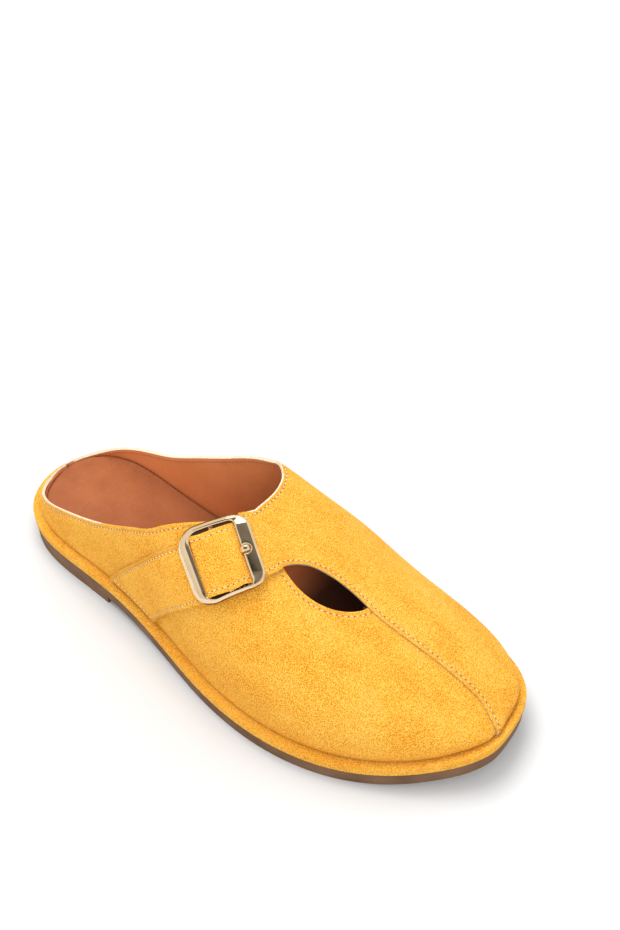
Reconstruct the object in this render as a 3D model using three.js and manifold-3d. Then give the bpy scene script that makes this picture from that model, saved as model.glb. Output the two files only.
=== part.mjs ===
// Suede mule for the right foot: closed toe, low counter, leaf-shaped cut-out and a buckled instep strap.
// Millimetres. +Y is the heel, -Y the toe, +X the inner side of the foot, and the sole stands on Z = 0.
// "along" runs towards the toe, from 4 mm behind the back of the heel, and "side" is LATERAL or MEDIAL.

import * as THREE from "three";
import Module from "manifold-3d";

const wasm = await Module();
wasm.setup();

// ---- driving dimensions ----

const TOE_TIP = 263;
const SOLE_CENTRE = 133.6; // middle of the sole's length
const HEEL_LIFT = 3.7; // how far the heel lift raises the outsole
const BREAST = 81; // front face of the heel lift
const ARCH_END = 156; // where the outsole comes down to the floor
const TREAD_END = 209; // where the toe spring starts
const TOE_SPRING = 7.3;
const OUTSOLE = 6;
const MIDSOLE = 3.2;
const FOOTBED = 2;
const WALL = 1.8;
const SHELF = 3.8; // how far the midsole stands proud of the upper
const GAP = 0.3; // between pieces that meet
const BED_GAP = 1.1; // between the footbed's edge and the upper
const STRAP_THICKNESS = 1.6;
const SIDE_CENTRE = -2.9; // middle of the widest part, seen from the line through heel and toe

const LATERAL = -1;
const MEDIAL = 1;

function table(columns, rows) {
  return rows.map((row) => Object.fromEntries(columns.map((name, i) => [name, row[i]])));
}

// Half widths of the sole, from the line through heel and toe.
const SOLE = table(
  ["along", "lateral", "medial"],
  [
    [7.2, 7.0, 18.7],
    [18, 20.8, 27.6],
    [38, 29.8, 30.8],
    [65, 33.2, 29.4],
    [95, 36.6, 29.3],
    [125, 43.0, 33.0],
    [155, 50.0, 40.7],
    [185, 52.3, 45.9],
    [212, 47.5, 45.7],
    [235, 36.6, 41.0],
    [249, 25.6, 33.5],
    [257, 17.1, 25.2],
    [261.3, 9.9, 15.7],
  ],
);
const BACK_SEAM = { along: 3.9, across: 7.6 }; // on the sole's edge, under the seam of the counter
const TOE_SEAM = { along: 262.9, across: -2.8 }; // on the sole's edge, under the seam down the toe

// The crown is the top line of the last. Fullness is the power of each side's rounded profile.
const CROWN = table(
  ["along", "height", "across", "lateral", "medial"],
  [
    [28, 46, 4, 1.5, 1.5],
    [55, 70, 1, 2.3, 2.3],
    [85, 82, -2, 2.6, 2.7],
    [115, 80.3, -3, 2.7, 4.4],
    [142, 70.2, -3.9, 2.7, 3.6],
    [160, 63.5, -4, 2.75, 2.9],
    [180, 54.4, -2.7, 2.8, 2.55],
    [200, 46, -3, 2.8, 2.75],
    [216, 40, -2, 2.8, 2.8],
  ],
);
const BULGE = 0.03; // how far the sides swell past the feather line, as a share of the half width

// Height of the collar's edge, seen from the side; it runs into the oval of the throat.
const COLLAR = table(
  ["along", "lateral", "medial"],
  [
    [0, 17.5, 17.5],
    [10, 18, 18],
    [20, 21.5, 22],
    [33, 27, 28.5],
    [50, 33.5, 35],
    [70, 40, 41.7],
    [90, 48.6, 51.8],
    [107, 57, 59.6],
    [120, 61, 64.8],
    [146, 63, 65.7],
  ],
);
const THROAT = { front: 145.6, back: 104, across: -1.3, soften: 1.5 };
const THROAT_SIDE = { [LATERAL]: { width: 31.5, power: 2 }, [MEDIAL]: { width: 31.6, power: 2.8 } };

// How far the footbed's edge curls up.
const CUP = table(
  ["along", "lateral", "medial"],
  [
    [0, 1, 1],
    [14, 2.5, 3],
    [40, 6, 8],
    [70, 4.5, 7],
    [100, 2, 3],
    [130, 0.5, 0.5],
    [262, 0, 0],
  ],
);
const CUP_POWER = 4;
const HEEL_SEAT = { along: 32, across: 1.6, reach: 22 }; // middle of the round end and its half width

// Edges of the strap on the lateral side, as shares of the way from heel to toe, at each rise up the upper.
const STRAP = table(
  ["rise", "back", "front"],
  [
    [2, 0.3314, 0.4412],
    [12, 0.3659, 0.4696],
    [24, 0.4148, 0.511],
    [36, 0.461, 0.5544],
    [48, 0.5042, 0.5928],
    [53.5, 0.5218, 0.6098],
    [58.8, 0.5383, 0.6236],
    [63.3, 0.5496, 0.6343],
    [67.8, 0.5599, 0.6434],
    [72.5, 0.5692, 0.6526],
    [78, 0.5754, 0.6598],
  ],
);

// The cut-out's corners and the handles of its two arched edges, in plan.
const CUT_OUT = {
  back: { along: 169.5, across: -15.2 },
  front: { along: 200, across: -2.1 },
  medialHandles: [
    { along: 171.5, across: -5 },
    { along: 184, across: -0.5 },
  ],
  lateralHandles: [
    { along: 195, across: -16 },
    { along: 180, across: -19 },
  ],
};

// The buckle sits on the strap; its own axes are "run" along the strap and "bar" across it.
const BUCKLE_SEAT = { share: 0.5715, rise: 57.7 };
const BAR_DIRECTION = new THREE.Vector3(0.436, 0.768, 0.469);
const FRAME = { run: 29.3, bar: 31.8, frontCorner: 6.7, backCorner: 9 };
// The window sits off the frame's middle, so the top rail is the wider one.
const WINDOW = { run: 18.6, bar: 27.6, frontCorner: 2, backCorner: 4, shift: -0.5 };
const BAR_LEVEL = { middle: 4, half: 1.1 };
const RAIL_LEVEL = { middle: 3.7, half: 1.4 };
const PIN = { radius: 0.9, level: 2.2 };
const EYE = { inner: 1.2, outer: 1.8, width: 2.4 };
const PRONG_RADIUS = 0.8;
const PRONG_PATH = table(
  ["run", "level"],
  [
    [1.2, 2.4],
    [3.5, 2.6],
    [6, 3.8],
    [8.2, 4.8],
    [10.2, 5.3],
    [12.8, 5.4],
  ],
);
const HUMP = { height: 3.9, flat: 3.6, foot: 8.6 }; // the strap's rise over the centre bar

// ---- smooth curves through table rows ----

const RELAX_SWEEPS = 60;

function smoothCurve(knots, values, period = 0) {
  const count = values.length;
  const last = count - 1;
  const closed = period > 0;
  const span = (i) => (i === last ? period - knots[last] + knots[0] : knots[i + 1] - knots[i]);
  const pitch = (i) => (values[(i + 1) % count] - values[i]) / span(i);
  const slopes = values.map(() => 0);
  for (let sweep = 0; sweep < RELAX_SWEEPS; sweep += 1) {
    for (let i = 0; i < count; i += 1) {
      const before = (i + last) % count;
      const after = (i + 1) % count;
      if (!closed && i === 0) slopes[i] = (3 * pitch(i) - slopes[after]) / 2;
      else if (!closed && i === last) slopes[i] = (3 * pitch(before) - slopes[before]) / 2;
      else {
        const sides = 3 * (span(i) * pitch(before) + span(before) * pitch(i));
        const neighbours = span(i) * slopes[before] + span(before) * slopes[after];
        slopes[i] = (sides - neighbours) / (2 * (span(before) + span(i)));
      }
    }
  }
  return (position) => {
    const at = closed ? THREE.MathUtils.euclideanModulo(position, period) : position;
    let i = 0;
    while (i < (closed ? last : last - 1) && at >= knots[i + 1]) i += 1;
    const after = (i + 1) % count;
    const w = THREE.MathUtils.clamp((at - knots[i]) / span(i), 0, 1);
    const ends = values[i] * (1 + 2 * w) * (1 - w) ** 2 + values[after] * w * w * (3 - 2 * w);
    return ends + span(i) * w * (1 - w) * (slopes[i] * (1 - w) - slopes[after] * w);
  };
}

const column = (rows, name) => rows.map((row) => row[name]);
const curveOf = (rows, name, key = "along") => smoothCurve(column(rows, key), column(rows, name));

// ---- outline of the sole ----

const SIDE_SAMPLES = 400;
const WALK_STEPS = 4 * SIDE_SAMPLES;

function soleSides() {
  const loop = [
    BACK_SEAM,
    ...SOLE.map((row) => ({ along: row.along, across: row.medial })),
    TOE_SEAM,
    ...SOLE.map((row) => ({ along: row.along, across: -row.lateral })).reverse(),
  ];
  const knots = [0];
  loop.forEach((point, i) => {
    const next = loop[(i + 1) % loop.length];
    knots.push(knots[i] + Math.sqrt(Math.hypot(next.along - point.along, next.across - point.across)));
  });
  const period = knots.pop();
  const alongAt = smoothCurve(knots, column(loop, "along"), period);
  const acrossAt = smoothCurve(knots, column(loop, "across"), period);
  const toeKnot = knots[SOLE.length + 1];
  const walk = (start, end) => {
    const step = (end - start) / WALK_STEPS;
    const points = Array.from({ length: WALK_STEPS + 1 }, (_, i) => {
      const t = start + i * step;
      const tangent = [alongAt(t + step) - alongAt(t - step), acrossAt(t + step) - acrossAt(t - step)];
      const size = Math.hypot(...tangent) * Math.sign(step);
      return { along: alongAt(t), across: acrossAt(t), out: [-tangent[1] / size, tangent[0] / size] };
    });
    const lengths = [0];
    for (let i = 1; i < points.length; i += 1) {
      const [from, to] = [points[i - 1], points[i]];
      lengths.push(lengths[i - 1] + Math.hypot(to.along - from.along, to.across - from.across));
    }
    let i = 0;
    return Array.from({ length: SIDE_SAMPLES + 1 }, (_, k) => {
      const target = (lengths.at(-1) * k) / SIDE_SAMPLES;
      while (i < points.length - 2 && lengths[i + 1] < target) i += 1;
      return points[k === SIDE_SAMPLES ? points.length - 1 : i];
    });
  };
  return { [MEDIAL]: walk(0, toeKnot), [LATERAL]: walk(period, toeKnot) };
}

const sides = soleSides();

// A point on the sole's edge moved inwards; share runs from 0 at the back seam to 1 at the toe seam.
function edgePoint(share, side, inset) {
  const at = share * SIDE_SAMPLES;
  const i = Math.min(Math.floor(at), SIDE_SAMPLES - 1);
  const [a, b] = [sides[side][i], sides[side][i + 1]];
  const mix = (get) => THREE.MathUtils.lerp(get(a), get(b), at - i);
  return {
    along: mix((point) => point.along - inset * point.out[0]),
    across: mix((point) => point.across - inset * point.out[1]),
  };
}

const inPlan = ({ along, across }) => new THREE.Vector2(across - SIDE_CENTRE, SOLE_CENTRE - along);

function place(along, across, height) {
  const { x, y } = inPlan({ along, across });
  return new THREE.Vector3(x, y, height);
}

function soleUnderside(along) {
  const arch = HEEL_LIFT * (1 - THREE.MathUtils.smoothstep(along, BREAST, ARCH_END));
  const spring = THREE.MathUtils.clamp((along - TREAD_END) / (TOE_TIP - TREAD_END), 0, 1);
  return arch + TOE_SPRING * spring ** 2;
}

const shelfHeight = (along) => soleUnderside(along) + OUTSOLE + MIDSOLE;

// ---- the last: rounded spokes from the feather line up to the crown ----

const crownStart = CROWN[0].along;
const crownEnd = CROWN.at(-1).along;
const crownHeight = curveOf(CROWN, "height");
const crownAcross = curveOf(CROWN, "across");
const fullness = { [LATERAL]: curveOf(CROWN, "lateral"), [MEDIAL]: curveOf(CROWN, "medial") };
const collarHeight = { [LATERAL]: curveOf(COLLAR, "lateral"), [MEDIAL]: curveOf(COLLAR, "medial") };

function crownSlope(along) {
  const [before, after] = [Math.max(along - 0.5, crownStart), Math.min(along + 0.5, crownEnd)];
  return (crownHeight(after) - crownHeight(before)) / (after - before);
}

const crownStation = (share) => crownStart + ((crownEnd - crownStart) * (1 - Math.cos(Math.PI * share))) / 2;
const crownShare = (along) => Math.acos(1 - (2 * (along - crownStart)) / (crownEnd - crownStart)) / Math.PI;

// Rise is the angle up the spoke, from 0 at the feather line to 90 at the crown.
// Grow moves the surface outwards.
function lastPoint(share, side, rise, grow = 0) {
  const foot = edgePoint(share, side, SHELF - grow);
  const station = crownStation(share);
  const power = fullness[side](station);
  const angle = THREE.MathUtils.degToRad(rise);
  const size = (Math.cos(angle) ** power + Math.sin(angle) ** power) ** (1 / power);
  const reach = Math.cos(angle) / size;
  const lift = Math.sin(angle) / size;
  const swell = reach * (1 + BULGE * 4 * lift * (1 - lift));
  const base = shelfHeight(foot.along) + GAP;
  const slope = crownSlope(station);
  const across = crownAcross(station);
  const upright = (crownHeight(station) + grow - base) * lift;
  const height = base + upright + slope * (foot.along - station) * reach * lift;
  return {
    along: station + (foot.along - station) * swell,
    across: across + (foot.across - across) * swell,
    height,
  };
}

const onLast = (share, side, rise, grow) => {
  const point = lastPoint(share, side, rise, grow);
  return place(point.along, point.across, point.height);
};

// Positive inside the foot's opening: above the collar's line and within the throat's oval.
function openness(point, side) {
  const { width, power } = THROAT_SIDE[side];
  const ahead = Math.max(point.along - THROAT.back, 0) / (THROAT.front - THROAT.back);
  const aside = Math.max((point.across - THROAT.across) * side, 0) / width;
  const oval = (1 - (ahead ** power + aside ** power) ** (1 / power)) * width;
  const above = point.height - collarHeight[side](THREE.MathUtils.clamp(point.along, 0, THROAT.front));
  return (above + oval - Math.hypot(above - oval, THROAT.soften)) / 2;
}

// The rise at which a spoke meets the collar's edge, or 90 where it runs up to the crown.
function rimRise(share, side) {
  const steps = 180;
  const open = (rise) => openness(lastPoint(share, side, rise), side) > 0;
  let step = 1;
  while (step <= steps && !open((90 * step) / steps)) step += 1;
  if (step > steps) return 90;
  let [low, high] = [(90 * (step - 1)) / steps, (90 * step) / steps];
  for (let halving = 0; halving < 24; halving += 1) {
    const middle = (low + high) / 2;
    if (open(middle)) high = middle;
    else low = middle;
  }
  return low;
}

// ---- building closed meshes ----

const WELD = 0.0005; // corners closer than this are one

class Shell {
  constructor() {
    this.points = [];
    this.faces = [];
    this.known = new Map();
  }
  vertex(point) {
    const key = point.toArray().map((value) => Math.round(value / WELD)).join();
    if (!this.known.has(key)) {
      this.known.set(key, this.points.length);
      this.points.push(point);
    }
    return this.known.get(key);
  }
  face(...corners) {
    const [a, b, c] = corners.map((corner) => this.vertex(corner));
    if (a !== b && b !== c && c !== a) this.faces.push([a, b, c]);
  }
  quad(a, b, c, d) {
    this.face(a, b, c);
    this.face(a, c, d);
  }
  // Joins closed loops of equal length, one after another; skip(i, k) leaves a quad out.
  sleeve(loops, skip = () => false) {
    for (let i = 0; i + 1 < loops.length; i += 1) {
      const size = loops[i].length;
      for (let k = 0; k < size; k += 1) {
        const next = (k + 1) % size;
        if (!skip(i, k)) this.quad(loops[i][k], loops[i + 1][k], loops[i + 1][next], loops[i][next]);
      }
    }
  }
  // Closes a loop that runs out along one side and back along the other.
  ladder(loop, flip) {
    const size = loop.length;
    for (let i = 0; i < size / 2; i += 1) {
      const rung = [loop[i], loop[i + 1], loop[(size - i - 1) % size], loop[(size - i) % size]];
      this.quad(...(flip ? rung.reverse() : rung));
    }
  }
  geometry() {
    const volume = this.faces.reduce((sum, [a, b, c]) => {
      const [p, q, r] = [this.points[a], this.points[b], this.points[c]];
      return sum + p.dot(new THREE.Vector3().crossVectors(q, r));
    }, 0);
    const index = this.faces.flatMap(([a, b, c]) => (volume > 0 ? [a, b, c] : [a, c, b]));
    const geometry = new THREE.BufferGeometry();
    const numbers = this.points.flatMap((point) => point.toArray());
    geometry.setAttribute("position", new THREE.Float32BufferAttribute(numbers, 3));
    geometry.setIndex(index);
    return geometry;
  }
}

function toSolid(geometry) {
  const vertProperties = new Float32Array(geometry.getAttribute("position").array);
  const triVerts = new Uint32Array(geometry.getIndex().array);
  return new wasm.Manifold(new wasm.Mesh({ numProp: 3, vertProperties, triVerts }));
}

function fromSolid(solid) {
  const mesh = solid.getMesh();
  const geometry = new THREE.BufferGeometry();
  geometry.setAttribute("position", new THREE.Float32BufferAttribute(mesh.vertProperties, 3));
  geometry.setIndex(Array.from(mesh.triVerts));
  return geometry;
}

// Rewrites a library geometry as a plain welded mesh, moved by a matrix.
function welded(geometry, matrix = new THREE.Matrix4()) {
  const shell = new Shell();
  const loose = geometry.index ? geometry.toNonIndexed() : geometry;
  const position = loose.getAttribute("position");
  const corner = (i) => new THREE.Vector3().fromBufferAttribute(position, i).applyMatrix4(matrix);
  for (let i = 0; i < position.count; i += 3) shell.face(corner(i), corner(i + 1), corner(i + 2));
  return shell.geometry();
}

const shoe = new THREE.Group();

function addPart(name, geometry, color, roughness, metalness = 0) {
  geometry.computeVertexNormals();
  const mesh = new THREE.Mesh(geometry, new THREE.MeshStandardMaterial({ color, roughness, metalness }));
  mesh.name = name;
  shoe.add(mesh);
}

const SUEDE = 0xeaa93c;
const SOLE_BROWN = 0x7d6450;
const TAN = 0xb96d46;
const GOLD = 0xd9b98a;

// ---- sole parts ----

const SOLE_STEPS = 46;

// A loop round the sole: out along the lateral side and back along the medial side.
function soleLoop(inset, heightAt) {
  const loop = [];
  const add = (share, side) => {
    const point = edgePoint(share, side, inset);
    loop.push(place(point.along, point.across, heightAt(point.along)));
  };
  for (let i = 0; i <= SOLE_STEPS; i += 1) add(i / SOLE_STEPS, LATERAL);
  for (let i = SOLE_STEPS - 1; i > 0; i -= 1) add(i / SOLE_STEPS, MEDIAL);
  return loop;
}

function plate(rings) {
  const shell = new Shell();
  const loops = rings.map(({ inset, height }) => soleLoop(inset, (along) => soleUnderside(along) + height));
  shell.sleeve(loops);
  shell.ladder(loops[0], false);
  shell.ladder(loops.at(-1), true);
  return shell.geometry();
}

const outsoleRings = table(
  ["inset", "height"],
  [
    [1.3, 0],
    [0.7, 0.7],
    [0.5, OUTSOLE - GAP],
  ],
);
addPart("outsole", plate(outsoleRings), SOLE_BROWN, 0.65);

const midsoleRings = table(
  ["inset", "height"],
  [
    [1, OUTSOLE],
    [0.2, OUTSOLE + 0.5],
    [0, OUTSOLE + 1.3],
    [0.4, OUTSOLE + 2.3],
    [1.3, OUTSOLE + 3],
    [2.6, OUTSOLE + MIDSOLE],
  ],
);
addPart("midsole", plate(midsoleRings), SUEDE, 0.95);

const LIFT_INSET = 0.7;

function heelLift() {
  const loop = [];
  for (const side of [LATERAL, MEDIAL]) {
    const half = [];
    for (let i = 0; i <= SOLE_STEPS; i += 1) {
      const point = edgePoint(i / SOLE_STEPS, side, LIFT_INSET);
      if (point.along < BREAST - 2 && !(side === MEDIAL && i === 0)) half.push(point);
    }
    const before = half.at(-1);
    half.push({ along: BREAST, across: before.across + side * 0.1 });
    loop.push(...(side === LATERAL ? half : half.reverse()));
  }
  const outline = new THREE.Shape(loop.map(inPlan));
  return welded(new THREE.ExtrudeGeometry(outline, { depth: HEEL_LIFT - GAP, bevelEnabled: false }));
}
addPart("heel_lift", heelLift(), SOLE_BROWN, 0.65);

// ---- footbed ----

const BED_RUNGS = 8;
const cupHeight = { [LATERAL]: curveOf(CUP, "lateral"), [MEDIAL]: curveOf(CUP, "medial") };

function footbedTop(along, side, spread) {
  return shelfHeight(along) + GAP + FOOTBED + Math.max(cupHeight[side](along), 0) * spread ** CUP_POWER;
}

// Where the footbed's curled edge touches the inside of the upper.
function bedEdge(share, side) {
  let [low, high] = [0, 60];
  const at = (rise) => lastPoint(share, side, rise, -WALL - BED_GAP);
  for (let halving = 0; halving < 20; halving += 1) {
    const middle = (low + high) / 2;
    const point = at(middle);
    if (point.height < footbedTop(point.along, side, 1)) low = middle;
    else high = middle;
  }
  return at(low);
}

function footbed() {
  const inset = SHELF + WALL + BED_GAP;
  const shell = new Shell();
  const grid = [];
  for (let i = 0; i <= SOLE_STEPS; i += 1) {
    const [outer, inner] = [LATERAL, MEDIAL].map((side) => bedEdge(i / SOLE_STEPS, i === 0 ? MEDIAL : side));
    const row = [];
    for (let k = 0; k <= BED_RUNGS; k += 1) {
      const part = (1 - Math.cos((Math.PI * k) / BED_RUNGS)) / 2;
      const along = THREE.MathUtils.lerp(outer.along, inner.along, part);
      const across = THREE.MathUtils.lerp(outer.across, inner.across, part);
      const back = Math.max(HEEL_SEAT.along - along, 0) / (HEEL_SEAT.along - BACK_SEAM.along - inset);
      const aside = back > 0 ? (across - HEEL_SEAT.across) / HEEL_SEAT.reach : 2 * part - 1;
      const height = footbedTop(along, aside < 0 ? LATERAL : MEDIAL, Math.min(Math.hypot(back, aside), 1));
      const edge = k === 0 ? outer : inner;
      row.push(place(along, across, k === 0 || k === BED_RUNGS ? edge.height : height));
    }
    grid.push(row);
  }
  for (let i = 0; i < SOLE_STEPS; i += 1) {
    for (let k = 0; k < BED_RUNGS; k += 1) {
      shell.quad(grid[i][k], grid[i][k + 1], grid[i + 1][k + 1], grid[i + 1][k]);
    }
  }
  const rim = [...grid.map((row) => row[0]), ...grid.slice(1, -1).map((row) => row.at(-1)).reverse()];
  const under = soleLoop(inset, (along) => shelfHeight(along) + GAP);
  shell.sleeve([under, rim]);
  shell.ladder(under, false);
  return shell.geometry();
}
addPart("insole", footbed(), TAN, 0.45);

// ---- upper ----

const COLLAR_COLUMNS = 26;
const VAMP_COLUMNS = 20;
const UPPER_ROWS = 12;

function upperShell() {
  const columns = COLLAR_COLUMNS + VAMP_COLUMNS;
  const throatShare = crownShare(THROAT.front);
  const loops = [];
  for (let c = -columns; c <= columns; c += 1) {
    const side = c < 0 ? LATERAL : MEDIAL;
    const k = Math.abs(c);
    const foot = k / columns;
    const towardsThroat = 1 - (1 - Math.min(k / COLLAR_COLUMNS, 1)) ** 2;
    const top = k <= COLLAR_COLUMNS
      ? throatShare * towardsThroat
      : THREE.MathUtils.lerp(throatShare, 1, (k - COLLAR_COLUMNS) / VAMP_COLUMNS);
    const rim = k < COLLAR_COLUMNS ? rimRise(top, side) : 90;
    const spoke = (row, grow) => {
      const part = row / UPPER_ROWS;
      return onLast(THREE.MathUtils.lerp(foot, top, part), side, rim * part, grow);
    };
    const rows = Array.from({ length: UPPER_ROWS + 1 }, (_, row) => row);
    loops.push([...rows.map((row) => spoke(row, 0)), ...rows.reverse().map((row) => spoke(row, -WALL))]);
  }
  const shell = new Shell();
  const onVamp = (i) => Math.min(Math.abs(i - columns), Math.abs(i + 1 - columns)) >= COLLAR_COLUMNS;
  shell.sleeve(loops, (i, k) => k === UPPER_ROWS && onVamp(i));
  return shell.geometry();
}

const EDGE_STEPS = 12;

function cutOutTool() {
  const curve = (...points) => new THREE.CubicBezierCurve(...points.map(inPlan));
  const outline = new THREE.Shape([
    ...curve(CUT_OUT.back, ...CUT_OUT.medialHandles, CUT_OUT.front).getPoints(EDGE_STEPS).slice(0, -1),
    ...curve(CUT_OUT.front, ...CUT_OUT.lateralHandles, CUT_OUT.back).getPoints(EDGE_STEPS).slice(0, -1),
  ]);
  const [low, high] = [30, 80]; // below and above the upper at the cut-out
  const lift = new THREE.Matrix4().makeTranslation(0, 0, low);
  return welded(new THREE.ExtrudeGeometry(outline, { depth: high - low, bevelEnabled: false }), lift);
}

addPart("upper", fromSolid(toSolid(upperShell()).subtract(toSolid(cutOutTool()))), SUEDE, 0.95);

// ---- buckle's own axes on the upper ----

const seatPoint = onLast(BUCKLE_SEAT.share, LATERAL, BUCKLE_SEAT.rise, 0);
const NUDGE = { share: 1e-4, rise: 1e-2 };

function surfaceSlopes(share, rise) {
  const difference = (ds, dr) =>
    onLast(share + ds, LATERAL, rise + dr, 0).sub(onLast(share - ds, LATERAL, rise - dr, 0)).divideScalar(2);
  return {
    share: difference(NUDGE.share, 0).divideScalar(NUDGE.share),
    rise: difference(0, NUDGE.rise).divideScalar(NUDGE.rise),
  };
}

const seatSlopes = surfaceSlopes(BUCKLE_SEAT.share, BUCKLE_SEAT.rise);
const lifted = new THREE.Vector3().crossVectors(seatSlopes.rise, seatSlopes.share).normalize();
if (lifted.z < 0) lifted.negate();
const barAxis = BAR_DIRECTION.clone().addScaledVector(lifted, -BAR_DIRECTION.dot(lifted)).normalize();
const runAxis = new THREE.Vector3().crossVectors(barAxis, lifted).normalize();

// The point (run, bar) from the buckle's centre, at a level above the upper.
function onBuckle(run, bar, level) {
  let { share, rise } = BUCKLE_SEAT;
  for (let step = 0; step < 8; step += 1) {
    const offset = onLast(share, LATERAL, rise, level).sub(seatPoint);
    const miss = [run - offset.dot(runAxis), bar - offset.dot(barAxis)];
    const slopes = surfaceSlopes(share, rise);
    const [a, b] = [slopes.share.dot(runAxis), slopes.rise.dot(runAxis)];
    const [c, d] = [slopes.share.dot(barAxis), slopes.rise.dot(barAxis)];
    share += (d * miss[0] - b * miss[1]) / (a * d - b * c);
    rise = Math.min(rise + (a * miss[1] - c * miss[0]) / (a * d - b * c), 89.9);
  }
  return onLast(share, LATERAL, rise, level);
}

const buckleRun = (point) => point.clone().sub(seatPoint).dot(runAxis);

// ---- strap ----

const STRAP_STEPS = 30;
const STRAP_RUNGS = 6;

function strapShell() {
  const [backEdge, frontEdge] = ["back", "front"].map((name) => curveOf(STRAP, name, "rise"));
  const [low, high] = [STRAP[0].rise, STRAP.at(-1).rise];
  const humpAt = (point) => {
    const fromBar = Math.abs(buckleRun(point));
    return HUMP.height * (1 - THREE.MathUtils.smoothstep(fromBar, HUMP.flat, HUMP.foot));
  };
  const loops = [];
  for (let i = 0; i <= STRAP_STEPS; i += 1) {
    const rise = THREE.MathUtils.lerp(low, high, i / STRAP_STEPS);
    const across = (grow) =>
      Array.from({ length: STRAP_RUNGS + 1 }, (_, k) => {
        const share = THREE.MathUtils.lerp(backEdge(rise), frontEdge(rise), k / STRAP_RUNGS);
        return onLast(share, LATERAL, rise, grow + humpAt(onLast(share, LATERAL, rise, 0)));
      });
    loops.push([...across(GAP), ...across(GAP + STRAP_THICKNESS).reverse()]);
  }
  const shell = new Shell();
  shell.sleeve(loops);
  const cap = (loop, flip) => {
    for (let k = 0; k < STRAP_RUNGS; k += 1) {
      const rung = [loop[k], loop[k + 1], loop[loop.length - 2 - k], loop[loop.length - 1 - k]];
      shell.quad(...(flip ? rung.reverse() : rung));
    }
  };
  cap(loops[0], false);
  cap(loops.at(-1), true);
  return shell.geometry();
}

// ---- buckle ----

const CORNER_STEPS = 5;
const STRAIGHT_STEPS = 4;
const SECTION_STEPS = 8;
const CORNER_REACH = 1.08; // an eight-sided section's corners stand out, so that its flats keep the real size

function roundedRectangle({ run, bar, frontCorner, backCorner, shift = 0 }) {
  const points = [];
  const signs = [[1, 1], [-1, 1], [-1, -1], [1, -1]];
  const cornerPoint = ([sr, sb], turns) => {
    const corner = sr > 0 ? frontCorner : backCorner;
    const angle = (Math.PI / 2) * turns;
    return [
      sr * (run / 2 - corner) + corner * Math.cos(angle),
      sb * (bar / 2 - corner) + corner * Math.sin(angle) + shift,
    ];
  };
  signs.forEach((sign, i) => {
    for (let k = 0; k <= CORNER_STEPS; k += 1) points.push(cornerPoint(sign, i + k / CORNER_STEPS));
    const target = cornerPoint(signs[(i + 1) % 4], i + 1);
    const start = points.at(-1);
    for (let k = 1; k < STRAIGHT_STEPS; k += 1) {
      const part = k / STRAIGHT_STEPS;
      points.push(start.map((value, axis) => THREE.MathUtils.lerp(value, target[axis], part)));
    }
  });
  return points;
}

function frameShell() {
  const outer = roundedRectangle(FRAME);
  const inner = roundedRectangle(WINDOW);
  const loops = outer.map((point, i) => {
    const middle = [0, 1].map((axis) => (point[axis] + inner[i][axis]) / 2);
    const rail = 1 - THREE.MathUtils.smoothstep(Math.abs(middle[0]), FRAME.run / 8, FRAME.run / 4);
    const level = THREE.MathUtils.lerp(BAR_LEVEL.middle, RAIL_LEVEL.middle, rail);
    const half = THREE.MathUtils.lerp(BAR_LEVEL.half, RAIL_LEVEL.half, rail);
    return Array.from({ length: SECTION_STEPS }, (_, k) => {
      const angle = (2 * Math.PI * (k + 0.5)) / SECTION_STEPS;
      const part = 0.5 * (1 + CORNER_REACH * Math.cos(angle));
      const [run, bar] = [0, 1].map((axis) => THREE.MathUtils.lerp(inner[i][axis], point[axis], part));
      return onBuckle(run, bar, level + CORNER_REACH * half * Math.sin(angle));
    });
  });
  const shell = new Shell();
  shell.sleeve([...loops, loops[0]]);
  return shell.geometry();
}

function rodAlong(points, radius) {
  const circle = new THREE.Shape();
  circle.absarc(0, 0, radius, 0, 2 * Math.PI);
  const extrudePath = new THREE.CatmullRomCurve3(points);
  const options = { steps: 12, curveSegments: 4, bevelEnabled: false, extrudePath };
  return welded(new THREE.ExtrudeGeometry(circle, options));
}

function centreBar() {
  const reach = WINDOW.bar / 2 + 1;
  const points = [-1, -0.5, 0, 0.5, 1].map((part) => onBuckle(0, part * reach, PIN.level));
  return rodAlong(points, PIN.radius);
}

function prong(extra, beyond = []) {
  const path = [...PRONG_PATH, ...beyond].map(({ run, level }) => onBuckle(run, 0, level));
  return toSolid(rodAlong(path, PRONG_RADIUS + extra));
}

function prongEye() {
  const profile = [
    new THREE.Vector2(EYE.inner, -EYE.width / 2),
    new THREE.Vector2(EYE.outer, -EYE.width / 2),
    new THREE.Vector2(EYE.outer, EYE.width / 2),
    new THREE.Vector2(EYE.inner, EYE.width / 2),
    new THREE.Vector2(EYE.inner, -EYE.width / 2),
  ];
  const basis = new THREE.Matrix4().makeBasis(runAxis, barAxis, lifted.clone().negate());
  basis.setPosition(onBuckle(0, 0, PIN.level));
  return toSolid(welded(new THREE.LatheGeometry(profile, 16), basis));
}

const PRONG_CLEARANCE = GAP + 0.1;
const prongSpace = prong(PRONG_CLEARANCE, [{ run: 13.6, level: 5.4 }]);
const strap = toSolid(strapShell()).subtract(prongSpace);
const frame = toSolid(frameShell()).add(toSolid(centreBar())).subtract(prongSpace);
addPart("strap", fromSolid(strap), SUEDE, 0.95);
addPart("buckle_frame", fromSolid(frame), GOLD, 0.2, 1);
addPart("buckle_prong", fromSolid(prong(0).add(prongEye())), GOLD, 0.2, 1);

export default shoe;
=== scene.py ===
"""A suede mule for the right foot, stitched and lined, with a gold buckle on its instep strap."""

import math

import bpy
import numpy as np
from mathutils import Matrix, Vector
from mathutils.bvhtree import BVHTree


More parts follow.
